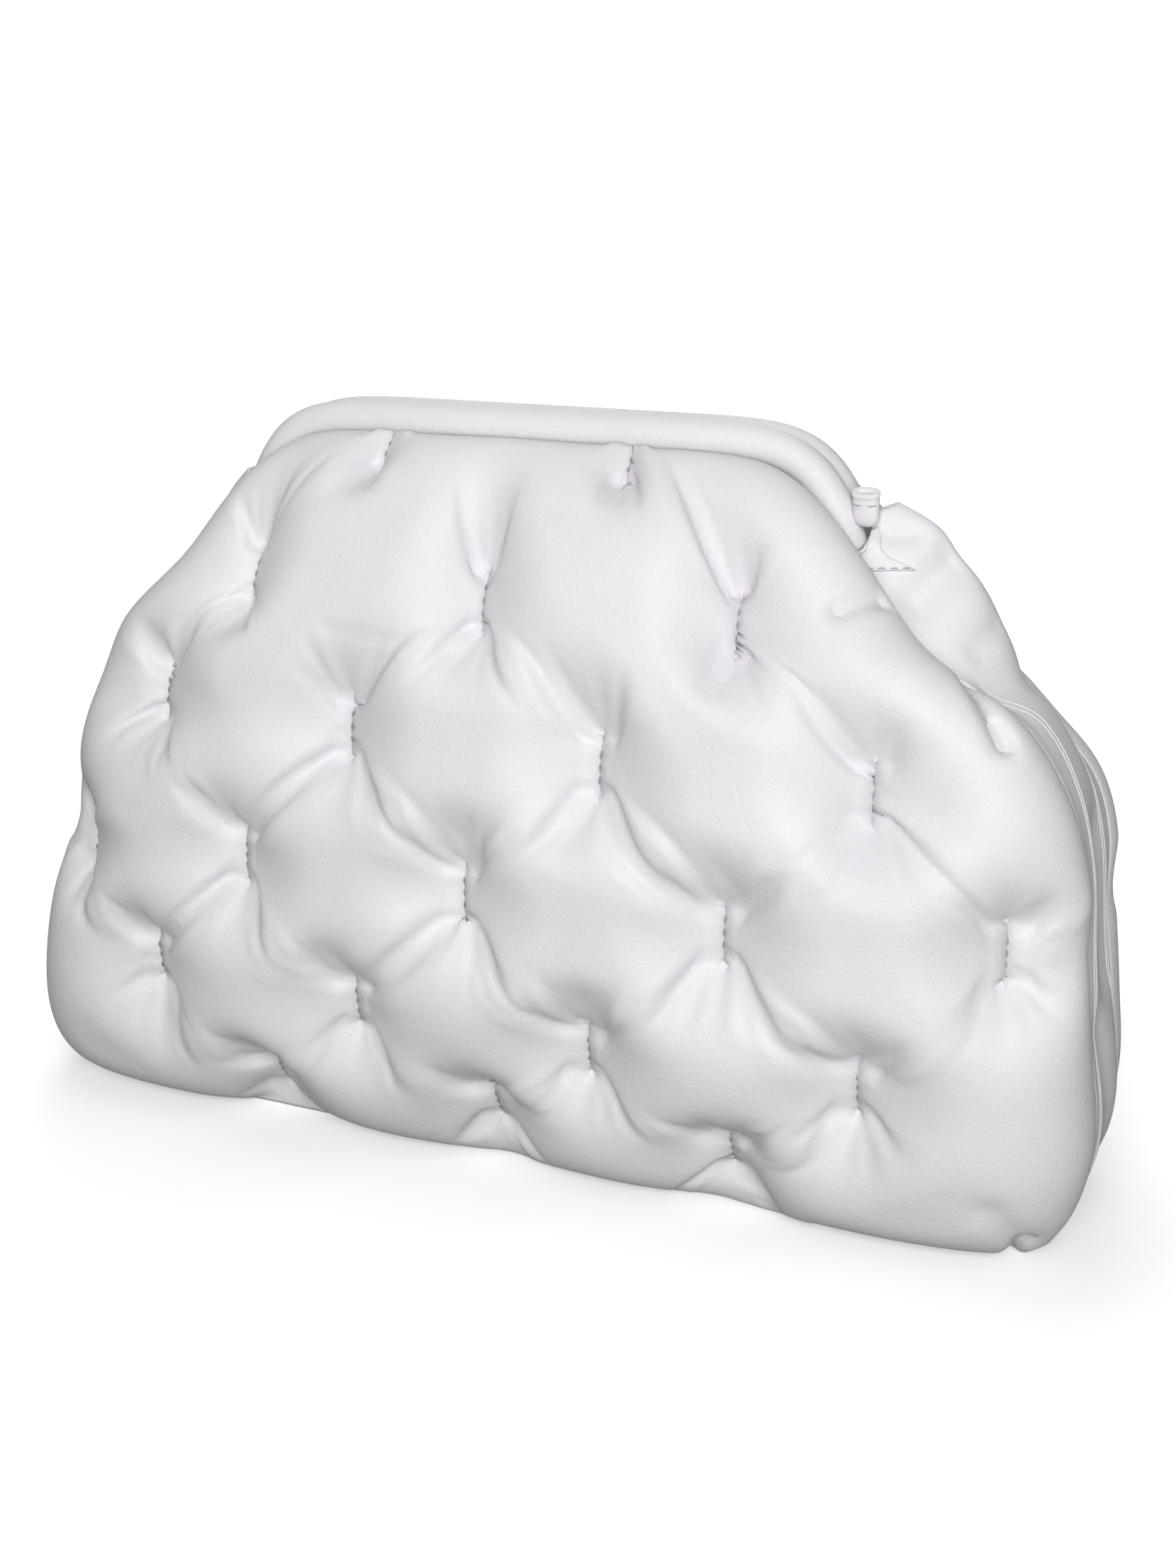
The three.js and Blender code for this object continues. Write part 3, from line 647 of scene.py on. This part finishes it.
def sewn_panel(places, seed):
    """A panel's outer face: the plain form, gathered by its tucks until the folds settle."""
    points = None
    for level in GRID_LEVELS:
        rows = level["rows"]
        columns = level["columns"]
        downs = np.linspace(0, PANEL_DROP, rows)
        form, across = panel_form(downs, np.linspace(-1, 1, columns))
        normals = grid_normals(form)
        down = np.repeat(downs[:, None], columns, 1)
        step_x, rest_x, rest_y, falling, rising = loose_lengths(form, across, down)
        free = np.ones((rows, columns))
        free[0] = free[-1] = 0
        free[:, 0] = free[:, -1] = 0
        tucks = sewn_tucks(places, downs, across, form, normals, rest_x)
        if points is None:
            points = first_folds(form, normals, across, down, places, free, seed)
        else:
            points = doubled(doubled(points, 0), 1)
        points[0] = seam_with_darts(form[0], step_x[0], rest_x[0], tucks)
        points[-1] = form[-1]
        points[:, 0] = form[:, 0]
        points[:, -1] = form[:, -1]
        passes = level["passes"]
        points = relax(points, form, normals, rest_x, rest_y, falling, rising, free, tucks, passes)
    points = touched_up(points, form, normals, across, down, places, seed)
    points = creased(points, normals, across, down)
    return close_tucks(points, normals, tucks), tucks


def tuck_places(seed=None):
    """Where the tucks lie on a panel: as on the front, or a little unevenly where a seed is given."""
    places = [(tuck["across"] * COLUMN_PITCH, tuck["down"] * ROW_PITCH) for tuck in TUCKS]
    if seed is not None:
        uneven = np.random.default_rng(seed).uniform(-BACK_UNEVENNESS, BACK_UNEVENNESS, (len(places), 2))
        places = [(u + du, v + dv) for (u, v), (du, dv) in zip(places, uneven)]
    return places


def mesh_object(name, points, faces):
    """A mesh object from points and quads or triangles, with the frame's shift put in."""
    mesh = bpy.data.meshes.new(name)
    shifted = np.asarray(points, float) + np.array([MIDDLE_X, 0, 0])
    mesh.from_pydata(shifted.tolist(), [], [tuple(face) for face in faces])
    mesh.validate()
    fixed = bmesh.new()
    fixed.from_mesh(mesh)
    bmesh.ops.recalc_face_normals(fixed, faces=fixed.faces)
    fixed.to_mesh(mesh)
    fixed.free()
    for polygon in mesh.polygons:
        polygon.use_smooth = True
    obj = bpy.data.objects.new(name, mesh)
    bpy.context.scene.collection.objects.link(obj)
    return obj


def grid_quads(rows, columns, first=0):
    """The quads of a grid of points, and the loop of points round its edge."""
    index = first + np.arange(rows * columns).reshape(rows, columns)
    quads = np.stack([index[:-1, :-1], index[1:, :-1], index[1:, 1:], index[:-1, 1:]], -1)
    loop = np.concatenate([index[0, :-1], index[:-1, -1], index[-1, :0:-1], index[:0:-1, 0]])
    return quads.reshape(-1, 4), loop


def shell_mesh(name, outer, thickness, soften=0):
    """A closed wall behind a grid of points: outer face, a plainer inner face and the rim."""
    rows, columns, _ = outer.shape
    middle = softened(outer[::2, ::2], soften)
    inner = middle - grid_normals(middle) * thickness
    inner[..., 2] = np.maximum(inner[..., 2], GAP)
    outer_quads, outer_loop = grid_quads(rows, columns)
    inner_quads, inner_loop = grid_quads(inner.shape[0], inner.shape[1], rows * columns)
    faces = [tuple(quad) for quad in outer_quads] + [tuple(quad[::-1]) for quad in inner_quads]
    count = len(outer_loop)
    for k in range(len(inner_loop)):
        a, b, c = outer_loop[2 * k], outer_loop[2 * k + 1], outer_loop[(2 * k + 2) % count]
        faces.append((a, b, c, inner_loop[(k + 1) % len(inner_loop)], inner_loop[k]))
    points = np.concatenate([outer.reshape(-1, 3), inner.reshape(-1, 3)])
    return mesh_object(name, points, faces)


def tube(path, radius, sides=8):
    """Points and faces of a closed round bar along a path."""
    path = np.asarray(path, float)
    way = np.gradient(path, axis=0)
    way /= np.maximum(np.linalg.norm(way, axis=1, keepdims=True), 1e-12)
    spare = np.where(np.abs(way[:, 2:]) > TUBE_STEEP, [[1.0, 0, 0]], [[0, 0, 1.0]])
    first = np.cross(way, spare)
    first /= np.linalg.norm(first, axis=1, keepdims=True)
    second = np.cross(way, first)
    angle = 2 * pi * np.arange(sides) / sides
    ring = np.cos(angle)[None, :, None] * first[:, None, :]
    ring = ring + np.sin(angle)[None, :, None] * second[:, None, :]
    size = np.full(len(path), radius)
    size[0] = size[-1] = TUBE_END * radius
    points = path[:, None, :] + ring * size[:, None, None]
    return points.reshape(-1, 3), tube_faces(len(path), sides)


def tubes_object(name, paths, radius, sides=8):
    """Several round bars as one piece."""
    points = []
    faces = []
    for path in paths:
        more, more_faces = tube(path, radius, sides)
        faces += [tuple(np.array(face) + sum(len(part) for part in points)) for face in more_faces]
        points.append(more)
    return mesh_object(name, np.concatenate(points), faces)


def stitch_paths(line, outward, steps=6):
    """Short arched lengths of thread along a line, clear of the leather."""
    along = distances(line)
    count = max(1, int(along[-1] / STITCH_PITCH))
    pitch = along[-1] / count
    paths = []
    for k in range(count):
        want = pitch * (k + 0.5 + STITCH_SHARE * (np.linspace(0, 1, steps) - 0.5))
        arch = THREAD * (THREAD_ARCH * np.sin(pi * np.linspace(0, 1, steps)) - THREAD_SUNK)
        path = walked(line, along, want) + walked(outward, along, want) * arch[:, None]
        path[:, 2] = np.maximum(path[:, 2], THREAD)
        paths.append(path)
    return paths


def tuck_stitches(name, points, tucks, mirror):
    """Thread across every tuck of a panel."""
    normals = grid_normals(points)
    paths = []
    for tuck in tucks:
        rows = tuck["rows"]
        line = points[rows, tuck["left"]]
        outward = normals[rows, np.maximum(tuck["left"] - STITCH_BESIDE, 0)]
        outward = outward + normals[rows, tuck["right"] + STITCH_BESIDE]
        outward /= np.linalg.norm(outward, axis=1, keepdims=True)
        bare = int(round(len(rows) * (1 - STITCHED) / 2))
        shown = slice(0 if rows[0] == 0 else bare, len(rows) - bare)
        paths += [slumped(path * mirror) for path in stitch_paths(line[shown], outward[shown])]
    return tubes_object(name, paths, THREAD, THREAD_SIDES)


def foot_row(shares):
    """The seam along the middle of the base, under the feet of the gussets."""
    sizes = sizes_down(np.array([PANEL_DROP]))
    left = sizes["left_x"][0] + sizes["out_left"][0] * GUSSET_BULGE
    right = sizes["right_x"][0] + sizes["out_right"][0] * GUSSET_BULGE
    x = np.where(shares < 0, shares * left, shares * right)
    return np.stack([x, np.full_like(x, -GAP / 2), np.zeros_like(x)], -1)


def panel_points(places, seed, flap_rows=8):
    """A panel from the frame seam, down and under the base to its middle."""
    points, tucks = sewn_panel(places, seed)
    shares = np.linspace(-1, 1, points.shape[1])
    foot = foot_row(shares)
    flap = [points[-1] + (foot - points[-1]) * (k / flap_rows) for k in range(1, flap_rows + 1)]
    return np.concatenate([points, np.array(flap)]), tucks


def arch_point(share):
    """Places along the arch of the bars, at shares of its half width."""
    drop = FRAME_DROP * np.abs(share) ** ARCH_POWER
    return np.stack([FRAME_HALF_WIDTH * share, 0 * share, BAR_MIDDLE_Z - drop], -1)


def arch_outward(share):
    """Directions out of the arch at the same shares."""
    slope = ARCH_POWER * FRAME_DROP * np.abs(share) ** (ARCH_POWER - 1) / FRAME_HALF_WIDTH
    way = np.stack([np.sign(share) * slope, 0 * share, np.ones_like(share)], -1)
    return way / np.linalg.norm(way, axis=-1, keepdims=True)


def bar_points(middle_y, steps=140, sides=28, samples=2001):
    """Rings of points round a bar, evenly spaced along its arch."""
    fine = np.linspace(-1, 1, samples)
    fine = np.sign(fine) * (1 - (1 - np.abs(fine)) ** 2)
    path = arch_point(fine)
    along = distances(path)
    shares = np.interp(np.linspace(0, along[-1], steps), along, fine)
    middle = arch_point(shares)[:, None, :]
    outward = arch_outward(shares)[:, None, :]
    angle = (2 * pi * np.arange(sides) / sides)[None, :, None]
    points = middle + outward * (BAR_HALF_HIGH * np.sin(angle))
    points[..., 1] += middle_y + (BAR_HALF_THICK * np.cos(angle))[..., 0]
    return points


def tube_faces(rings, sides):
    """The quads between rings of points, with a face at each end."""
    index = np.arange(rings * sides).reshape(rings, sides)
    nxt = np.roll(index, -1, axis=1)
    quads = np.stack([index[:-1], index[1:], nxt[1:], nxt[:-1]], -1).reshape(-1, 4)
    return [tuple(face) for face in quads] + [tuple(index[0]), tuple(index[-1][::-1])]


def bar_object(name, middle_y):
    points = bar_points(middle_y)
    rings, sides, _ = points.shape
    return mesh_object(name, points.reshape(-1, 3), tube_faces(rings, sides))


def gusset_points(side, across_cells=64, rows=161):
    """The gusset's outer face, from the mouth between the bars down to the base."""
    out = "out_left" if side < 0 else "out_right"
    rise = "rise_left" if side < 0 else "rise_right"
    guide = []
    for place in MOUTH:
        share = np.array([side * place["along"]], float)
        turn = radians(place["around"])
        edge = arch_point(share)[0] + arch_outward(share)[0] * (BAR_HALF_HIGH + MOUTH_CLEAR) * cos(turn)
        edge_y = BAR_MIDDLE_Y + (BAR_HALF_THICK + MOUTH_CLEAR) * sin(turn)
        guide.append((abs(edge[0]), edge_y, edge[2], place[out], place[rise]))
    downs = np.linspace(0, PANEL_DROP, GUIDE_ROWS)
    sizes = sizes_down(downs)
    edge_x = sizes["left_x"] if side < 0 else sizes["right_x"]
    late = np.clip((downs - PANEL_DROP + ROW_PITCH) / ROW_PITCH, 0, 1)
    inset = 2 * GAP + LEATHER * late ** 2 * (3 - 2 * late)
    for i in range(len(downs)):
        guide.append((edge_x[i], sizes["edge_y"][i] - inset[i], max(sizes["side_z"][i], LEATHER + GAP),
                      sizes[out][i], sizes[rise][i]))
    guide = np.array(guide)
    along = distances(guide[:, :3])
    guide = walked(guide, along, np.linspace(0, along[-1], rows))
    across = side * np.linspace(-1, 1, across_cells + 1)[None, :]
    swell = (1 - across ** 2) * GUSSET_BULGE
    x = side * (guide[:, :1] + guide[:, 3:4] * swell)
    y = across * guide[:, 1:2]
    z = guide[:, 2:3] + guide[:, 4:5] * swell
    points = np.stack([x, y, z], -1)
    even = points.copy()
    for _ in range(MOUTH_EVENING):
        even[1:-1] = (even[:-2] + 2 * even[1:-1] + even[2:]) / 4
    inner = np.clip((1 - across ** 2) / MOUTH_BLEND, 0, 1)[..., None]
    points += (even - points) * inner
    return slumped(dented(points, side))


def dented(points, side):
    """Presses the dents into a gusset; its four edges stay where they are."""
    rows, columns, _ = points.shape
    normals = outward_normals(points)
    depth = np.zeros((rows, columns))
    for dent in DENTS:
        if dent["side"] != side:
            continue
        ends = []
        for down, across in ((dent["down"], dent["across"]), (dent["to_down"], dent["to_across"])):
            row = int(round(np.clip(down, 0, 1) * (rows - 1)))
            column = int(round((1 + side * np.clip(across, -1, 1)) / 2 * (columns - 1)))
            ends.append(points[row, column])
        way = ends[1] - ends[0]
        t = np.clip(((points - ends[0]) @ way) / (way @ way), 0, 1)
        off = np.linalg.norm(points - ends[0] - t[..., None] * way, axis=-1)
        depth += dent["deep"] * np.exp(-(off / dent["width"]) ** 2)
    edge = np.minimum(np.linspace(0, 1, columns), np.linspace(1, 0, columns))[None, :] * DENT_EDGES
    ends = np.minimum(np.linspace(0, 1, rows), np.linspace(1, 0, rows))[:, None] * DENT_ENDS
    depth *= np.clip(edge, 0, 1) * np.clip(ends, 0, 1)
    return points - normals * depth[..., None]


def on_grid(points, down, across):
    """Points of a gusset's grid at shares of the way down and from -1, in front, to 1 across."""
    rows, columns, _ = points.shape
    side = np.sign(points[rows // 2, columns // 2, 0])
    row = np.clip(np.asarray(down) * (rows - 1), 0, rows - LAST_CELL)
    column = np.clip((1 + side * np.asarray(across)) / 2 * (columns - 1), 0, columns - LAST_CELL)
    i = row.astype(int)
    j = column.astype(int)
    a = (row - i)[..., None]
    b = (column - j)[..., None]
    upper = points[i, j] * (1 - b) + points[i, j + 1] * b
    lower = points[i + 1, j] * (1 - b) + points[i + 1, j + 1] * b
    return upper * (1 - a) + lower * a


def outward_normals(points):
    """Normals of a gusset's grid that point out of the bag."""
    normals = grid_normals(points)
    middle = (points.shape[0] // 2, points.shape[1] // 2)
    return normals * np.sign(normals[middle][0] * points[middle][0])


def seam_ridges(name, points):
    """The thin double ridge of the seams near a gusset's two long edges."""
    normals = outward_normals(points)
    downs = np.linspace(SEAM_LINE[0]["down"], SEAM_LINE[-1]["down"], SEAM_POINTS)
    given = [place["down"] for place in SEAM_LINE]
    line = np.interp(downs, given, [place["across"] for place in SEAM_LINE])
    window = 2 * SEAM_EVENING + 1
    line = np.convolve(np.pad(line, SEAM_EVENING, mode="edge"), np.ones(window) / window, "valid")
    paths = []
    for way in (-1, 1):
        middle = on_grid(points, downs, way * line)
        outward = on_grid(normals, downs, way * line)
        along = np.gradient(middle, axis=0)
        beside = np.cross(along, outward)
        beside /= np.linalg.norm(beside, axis=1, keepdims=True)
        for shift in (-0.5, 0.5):
            paths.append(middle + beside * (shift * SEAM_BAND) - outward * (SEAM_SUNK * SEAM_RIDGE))
    return tubes_object(name, paths, SEAM_RIDGE)


def tongue_object(name, points):
    """The flat leather tongue that holds the loop, and the line of its stitches."""
    normals = outward_normals(points)
    steps = np.linspace(0, len(TONGUE) - 1, TONGUE_POINTS["down"])
    share = np.linspace(0, 1, TONGUE_POINTS["across"])[None, :]
    edges = {}
    for column in TONGUE[0]:
        values = [row[column] for row in TONGUE]
        edges[column] = np.interp(steps, range(len(TONGUE)), values)[:, None]
    across = edges["left"] * (1 - share) + edges["right"] * share
    down = edges["left_down"] * (1 - share) + edges["right_down"] * share
    outward = on_grid(normals, down, across)
    top = on_grid(points, down, across) + outward * (GAP + LEATHER / 2)
    row = top[-2] + outward[-2] * THREAD
    return shell_mesh(name, top, LEATHER / 2), stitch_paths(row, outward[-2])


def tab_object(name, low, high):
    """The small rolled loop: a rounded cup of leather, open above, with a rolled rim."""
    middle = (low + high) / 2
    half_x = TAB_NARROW * (high[0] - low[0]) / 2 - TAB_RIM
    half_y = (high[1] - low[1]) / 2 - TAB_RIM
    tall = TAB_SHORT * (high[2] - low[2])
    steps = TAB_STEPS["wall"]
    sides = TAB_STEPS["round"]
    power = TAB_FOOT["power"]
    rings = []
    for k in range(steps):
        t = k / (steps - 1)
        size = (1 - (1 - min(t / TAB_FOOT["high"], 1)) ** power) ** (1 / power)
        lip = TAB_RIM * np.exp(-((t - TAB_LIP["at"]) / TAB_LIP["width"]) ** 2)
        rings.append((max(size, TAB_FOOT["least"]), lip, t * tall))
    for k in range(1, TAB_STEPS["rim"] + 1):
        t = k / TAB_STEPS["rim"]
        rise = TAB_RIM * (np.sin(pi * t) * TAB_LIP["rise"])
        rings.append((1, TAB_RIM * (1 - t) - TAB_WALL * t, tall + rise))
    for k in range(1, TAB_STEPS["opening"] + 1):
        t = k / TAB_STEPS["opening"]
        rings.append((1 - TAB_TAPER * t, -TAB_WALL, tall * (1 - TAB_OPEN * t)))
    angle = 2 * pi * np.arange(sides) / sides
    round_x = np.sign(np.cos(angle)) * np.abs(np.cos(angle)) ** (2 / TAB_ROUND)
    round_y = np.sign(np.sin(angle)) * np.abs(np.sin(angle)) ** (2 / TAB_ROUND)
    points = np.empty((len(rings), sides, 3))
    for k, (size, more, z) in enumerate(rings):
        points[k, :, 0] = (half_x * size + more) * round_x
        points[k, :, 1] = (half_y * size + more) * round_y
        points[k, :, 2] = z
    points[..., 2] += TAB_TILT * points[..., 1] * np.clip(points[..., 2] / tall, 0, 1) ** 2
    lean = np.tan(TAB_LEAN) * (points[..., 2] - tall / 2)
    points[..., 0] -= TAB_UPRIGHT * lean
    points += np.array([middle[0] - MIDDLE_X, middle[1], low[2]])
    obj = mesh_object(name, points.reshape(-1, 3), tube_faces(len(rings), sides))
    level = int(round((1 - TAB_STITCH_BELOW / tall) * (steps - 1)))
    first, last = TAB_STITCH_ARC
    front = points[level][(angle > pi * first) & (angle < pi * last)]
    return obj, stitch_paths(front, np.tile([0.0, -1.0, 0.0], (len(front), 1)))


def roll_object(name, low, high):
    """The end of the strip, rolled up inside the loop's mouth."""
    middle = (low + high) / 2
    turns = np.linspace(0, ROLL["turns"] * pi, ROLL["points"])
    reach = np.linspace(ROLL["inner"], ROLL["outer"], ROLL["points"])
    half_x = TAB_NARROW * (high[0] - low[0]) / 2 - TAB_RIM - TAB_WALL - GAP
    half_y = (high[1] - low[1]) / 2 - TAB_RIM - TAB_WALL - GAP
    x = half_x * reach * np.cos(turns)
    y = half_y * reach * np.sin(turns)
    top = low[2] + TAB_SHORT * (high[2] - low[2]) + TAB_TILT * y - ROLL["below"]
    x = x + middle[0] - MIDDLE_X - TAB_UPRIGHT * np.tan(TAB_LEAN) * (top - middle[2])
    rows = [np.stack([x, y + middle[1], top - k * ROLL["fall"]], -1) for k in range(ROLL["rows"])]
    return shell_mesh(name, np.array(rows)[:, :-1], ROLL["thick"])


# Materials
def new_material(name):
    """A material with its nodes, its links and its shader."""
    material = bpy.data.materials.new(name)
    material.use_nodes = True
    tree = material.node_tree
    return material, tree.nodes, tree.links, tree.nodes["Principled BSDF"]


def noise(nodes, links, scale, detail=PLAIN_DETAIL):
    """Cloudy noise that stays with the object."""
    place = nodes.new("ShaderNodeTexCoord")
    texture = nodes.new("ShaderNodeTexNoise")
    texture.inputs["Scale"].default_value = scale
    texture.inputs["Detail"].default_value = detail
    links.new(place.outputs["Object"], texture.inputs["Vector"])
    return texture


def two_tones(nodes, links, texture, dark, pale, start=0.0, end=1.0):
    """A colour that goes from dark to pale with a texture."""
    tint = nodes.new("ShaderNodeValToRGB")
    tint.color_ramp.elements[0].color = (*dark, 1)
    tint.color_ramp.elements[1].color = (*pale, 1)
    tint.color_ramp.elements[0].position = start
    tint.color_ramp.elements[1].position = end
    links.new(texture.outputs["Fac"], tint.inputs["Fac"])
    return tint.outputs["Color"]


def bump(nodes, links, height, deep):
    """Fine relief of the leather from a texture's height."""
    relief = nodes.new("ShaderNodeBump")
    relief.inputs["Strength"].default_value = GRAIN_STRENGTH
    relief.inputs["Distance"].default_value = deep
    links.new(height, relief.inputs["Height"])
    return relief


def leather_material(name):
    """Soft white leather, a little cloudy, with pores and fine wrinkles."""
    material, nodes, links, shader = new_material(name)
    shader.inputs["Roughness"].default_value = LEATHER_ROUGHNESS
    shader.inputs["Specular IOR Level"].default_value = LEATHER_GLOSS
    cloud = noise(nodes, links, CLOUDS["scale"], CLOUDS["detail"])
    colour = two_tones(nodes, links, cloud, LEATHER_DARK, LEATHER_PALE, CLOUDS["dark"], CLOUDS["pale"])
    links.new(colour, shader.inputs["Base Color"])
    place = nodes.new("ShaderNodeTexCoord")
    cells = nodes.new("ShaderNodeTexVoronoi")
    cells.feature = "DISTANCE_TO_EDGE"
    cells.inputs["Scale"].default_value = PORES["scale"]
    links.new(place.outputs["Object"], cells.inputs["Vector"])
    fine = noise(nodes, links, WRINKLES["scale"], WRINKLES["detail"])
    pores = bump(nodes, links, cells.outputs["Distance"], PORES["deep"])
    wrinkles = bump(nodes, links, fine.outputs["Fac"], WRINKLES["deep"])
    links.new(pores.outputs["Normal"], wrinkles.inputs["Normal"])
    links.new(wrinkles.outputs["Normal"], shader.inputs["Normal"])
    return material


def metal_material(name):
    """Plain satin metal, unevenly smooth."""
    material, nodes, links, shader = new_material(name)
    shader.inputs["Metallic"].default_value = 1
    shader.inputs["Base Color"].default_value = (*METAL_COLOUR, 1)
    streaks = noise(nodes, links, METAL_STREAKS["scale"])
    spread = nodes.new("ShaderNodeMapRange")
    spread.inputs["To Min"].default_value = METAL_STREAKS["smooth"]
    spread.inputs["To Max"].default_value = METAL_STREAKS["rough"]
    links.new(streaks.outputs["Fac"], spread.inputs["Value"])
    links.new(spread.outputs["Result"], shader.inputs["Roughness"])
    return material


def thread_material(name):
    """Twisted thread, a little darker in places."""
    material, nodes, links, shader = new_material(name)
    shader.inputs["Roughness"].default_value = THREAD_ROUGHNESS
    twist = noise(nodes, links, THREAD_TWIST)
    links.new(two_tones(nodes, links, twist, THREAD_DARK, THREAD_PALE), shader.inputs["Base Color"])
    return material


white_leather = leather_material("white_leather")
hinge_metal = metal_material("hinge_metal")
grey_thread = thread_material("grey_thread")


def dress(obj, material, slot, *nodes):
    """Gives a piece its material, its body and the nodes that it stands for. The slot is not used."""
    obj.data.materials.clear()
    obj.data.materials.append(material)
    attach(obj, "root")
    if nodes:
        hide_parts(*nodes)
    return obj


# Pieces
front_points, front_tucks = panel_points(tuck_places(), FRONT_SEED)
front_panel = shell_mesh("front_panel_leather", front_points, LEATHER, INNER_EVENING)
dress(front_panel, white_leather, "white_leather", "front_panel")
back_points, back_tucks = panel_points(tuck_places(BACK_PLACES_SEED), BACK_SEED)
behind = np.array([1, -1, 1])
back_outer = slumped(back_points * behind)[:, ::-1]
back_panel = shell_mesh("back_panel_leather", back_outer, LEATHER, INNER_EVENING)
dress(back_panel, white_leather, "white_leather", "back_panel")
dress(tuck_stitches("front_panel_stitches", front_points, front_tucks, 1), grey_thread, "white_leather")
dress(tuck_stitches("back_panel_stitches", back_points, back_tucks, behind), grey_thread, "white_leather")
for side_name, side in (("left", -1), ("right", 1)):
    side_points = gusset_points(side)
    piece = shell_mesh(f"gusset_{side_name}_leather", side_points, LEATHER)
    dress(piece, white_leather, "white_leather", f"gusset_{side_name}")
    piece = seam_ridges(f"gusset_{side_name}_seams", side_points)
    dress(piece, white_leather, "white_leather")
tongue, tongue_stitches = tongue_object("tab_tongue", side_points)
dress(tongue, white_leather, "white_leather")
tab_low, tab_high = (np.array(corner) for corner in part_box("tab"))
tab, tab_stitches = tab_object("tab_leather", tab_low, tab_high)
dress(tab, white_leather, "white_leather", "tab")
dress(roll_object("tab_roll", tab_low, tab_high), white_leather, "white_leather")
dress(tubes_object("tab_stitches", tab_stitches + tongue_stitches, THREAD), grey_thread, "white_leather")
for bar_name, way in (("front", -1), ("back", 1)):
    piece = bar_object(f"frame_{bar_name}_leather", way * BAR_MIDDLE_Y)
    dress(piece, white_leather, "white_leather", f"frame_{bar_name}")
for node in ("hinge_left", "hinge_right"):
    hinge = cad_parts[node]
    hinge.data.materials.clear()
    hinge.data.materials.append(hinge_metal)


# Studio
def stage_plane(name, corners, material):
    """A flat piece of the studio that sends no light back to the bag."""
    mesh = bpy.data.meshes.new(name)
    mesh.from_pydata(corners, [], [(0, 1, 2, 3)])
    mesh.materials.append(material)
    plane = bpy.data.objects.new(name, mesh)
    plane.visible_diffuse = False
    plane.visible_glossy = False
    bpy.context.scene.collection.objects.link(plane)


def make_floor():
    """A white floor that glows a little, more so away from the bag."""
    material, nodes, links, shader = new_material("floor_white")
    shader.inputs["Base Color"].default_value = (*FLOOR_COLOUR, 1)
    shader.inputs["Roughness"].default_value = FLOOR_ROUGHNESS
    shader.inputs["Specular IOR Level"].default_value = FLOOR_GLOSS
    shader.inputs["Emission Color"].default_value = (1, 1, 1, 1)
    place = nodes.new("ShaderNodeTexCoord")
    away = nodes.new("ShaderNodeVectorMath")
    away.operation = "LENGTH"
    links.new(place.outputs["Object"], away.inputs[0])
    glow = nodes.new("ShaderNodeMapRange")
    glow.inputs["From Min"].default_value = FLOOR_NEAR
    glow.inputs["From Max"].default_value = FLOOR_FAR
    glow.inputs["To Min"].default_value = FLOOR_GLOW_NEAR
    glow.inputs["To Max"].default_value = 1
    links.new(away.outputs["Value"], glow.inputs["Value"])
    links.new(glow.outputs["Result"], shader.inputs["Emission Strength"])
    far = BACKDROP_AWAY
    stage_plane("floor", [(-far, -far, 0), (far, -far, 0), (far, far, 0), (-far, far, 0)], material)


def make_backdrop():
    """A glowing white wall far behind the bag."""
    material, nodes, links, shader = new_material("backdrop_white")
    shader.inputs["Emission Color"].default_value = (1, 1, 1, 1)
    shader.inputs["Emission Strength"].default_value = 1.0
    away = BACKDROP_AWAY
    far = 2 * BACKDROP_AWAY
    corners = [(-far, away, 0), (far, away, 0), (far, away, far), (-far, away, far)]
    stage_plane("backdrop", corners, material)


def area_light(name, place, size, power):
    light = bpy.data.lights.new(name, "AREA")
    light.size = size
    light.energy = power
    obj = bpy.data.objects.new(name, light)
    obj.location = place
    target = Vector((0, 0, BAG_HEIGHT / 2))
    obj.rotation_euler = (target - Vector(place)).to_track_quat("-Z", "Y").to_euler()
    bpy.context.scene.collection.objects.link(obj)


def make_world(strength):
    world = bpy.data.worlds.new("studio")
    world.use_nodes = True
    background = world.node_tree.nodes["Background"]
    background.inputs["Color"].default_value = (1, 1, 1, 1)
    background.inputs["Strength"].default_value = strength
    bpy.context.scene.world = world


def make_camera():
    data = bpy.data.cameras.new("camera")
    data.sensor_fit = "VERTICAL"
    data.sensor_height = CAMERA_FILM
    data.lens = CAMERA_LENS
    data.clip_end = CAMERA_FAR
    camera = bpy.data.objects.new("camera", data)
    way = Vector(CAMERA_WAY)
    turn = way.to_track_quat("-Z", "Y").to_matrix().to_4x4() @ Matrix.Rotation(CAMERA_ROLL, 4, "Z")
    place = Vector(CAMERA_PLACE) + Vector((MIDDLE_X, 0, 0))
    camera.matrix_world = Matrix.Translation(place) @ turn
    bpy.context.scene.collection.objects.link(camera)
    bpy.context.scene.camera = camera


make_floor()
make_backdrop()
make_world(WORLD_LIGHT)
for lamp in LIGHTS:
    area_light(lamp["name"], lamp["place"], lamp["size"], lamp["power"])
make_camera()
bpy.context.scene.view_settings.view_transform = "Standard"
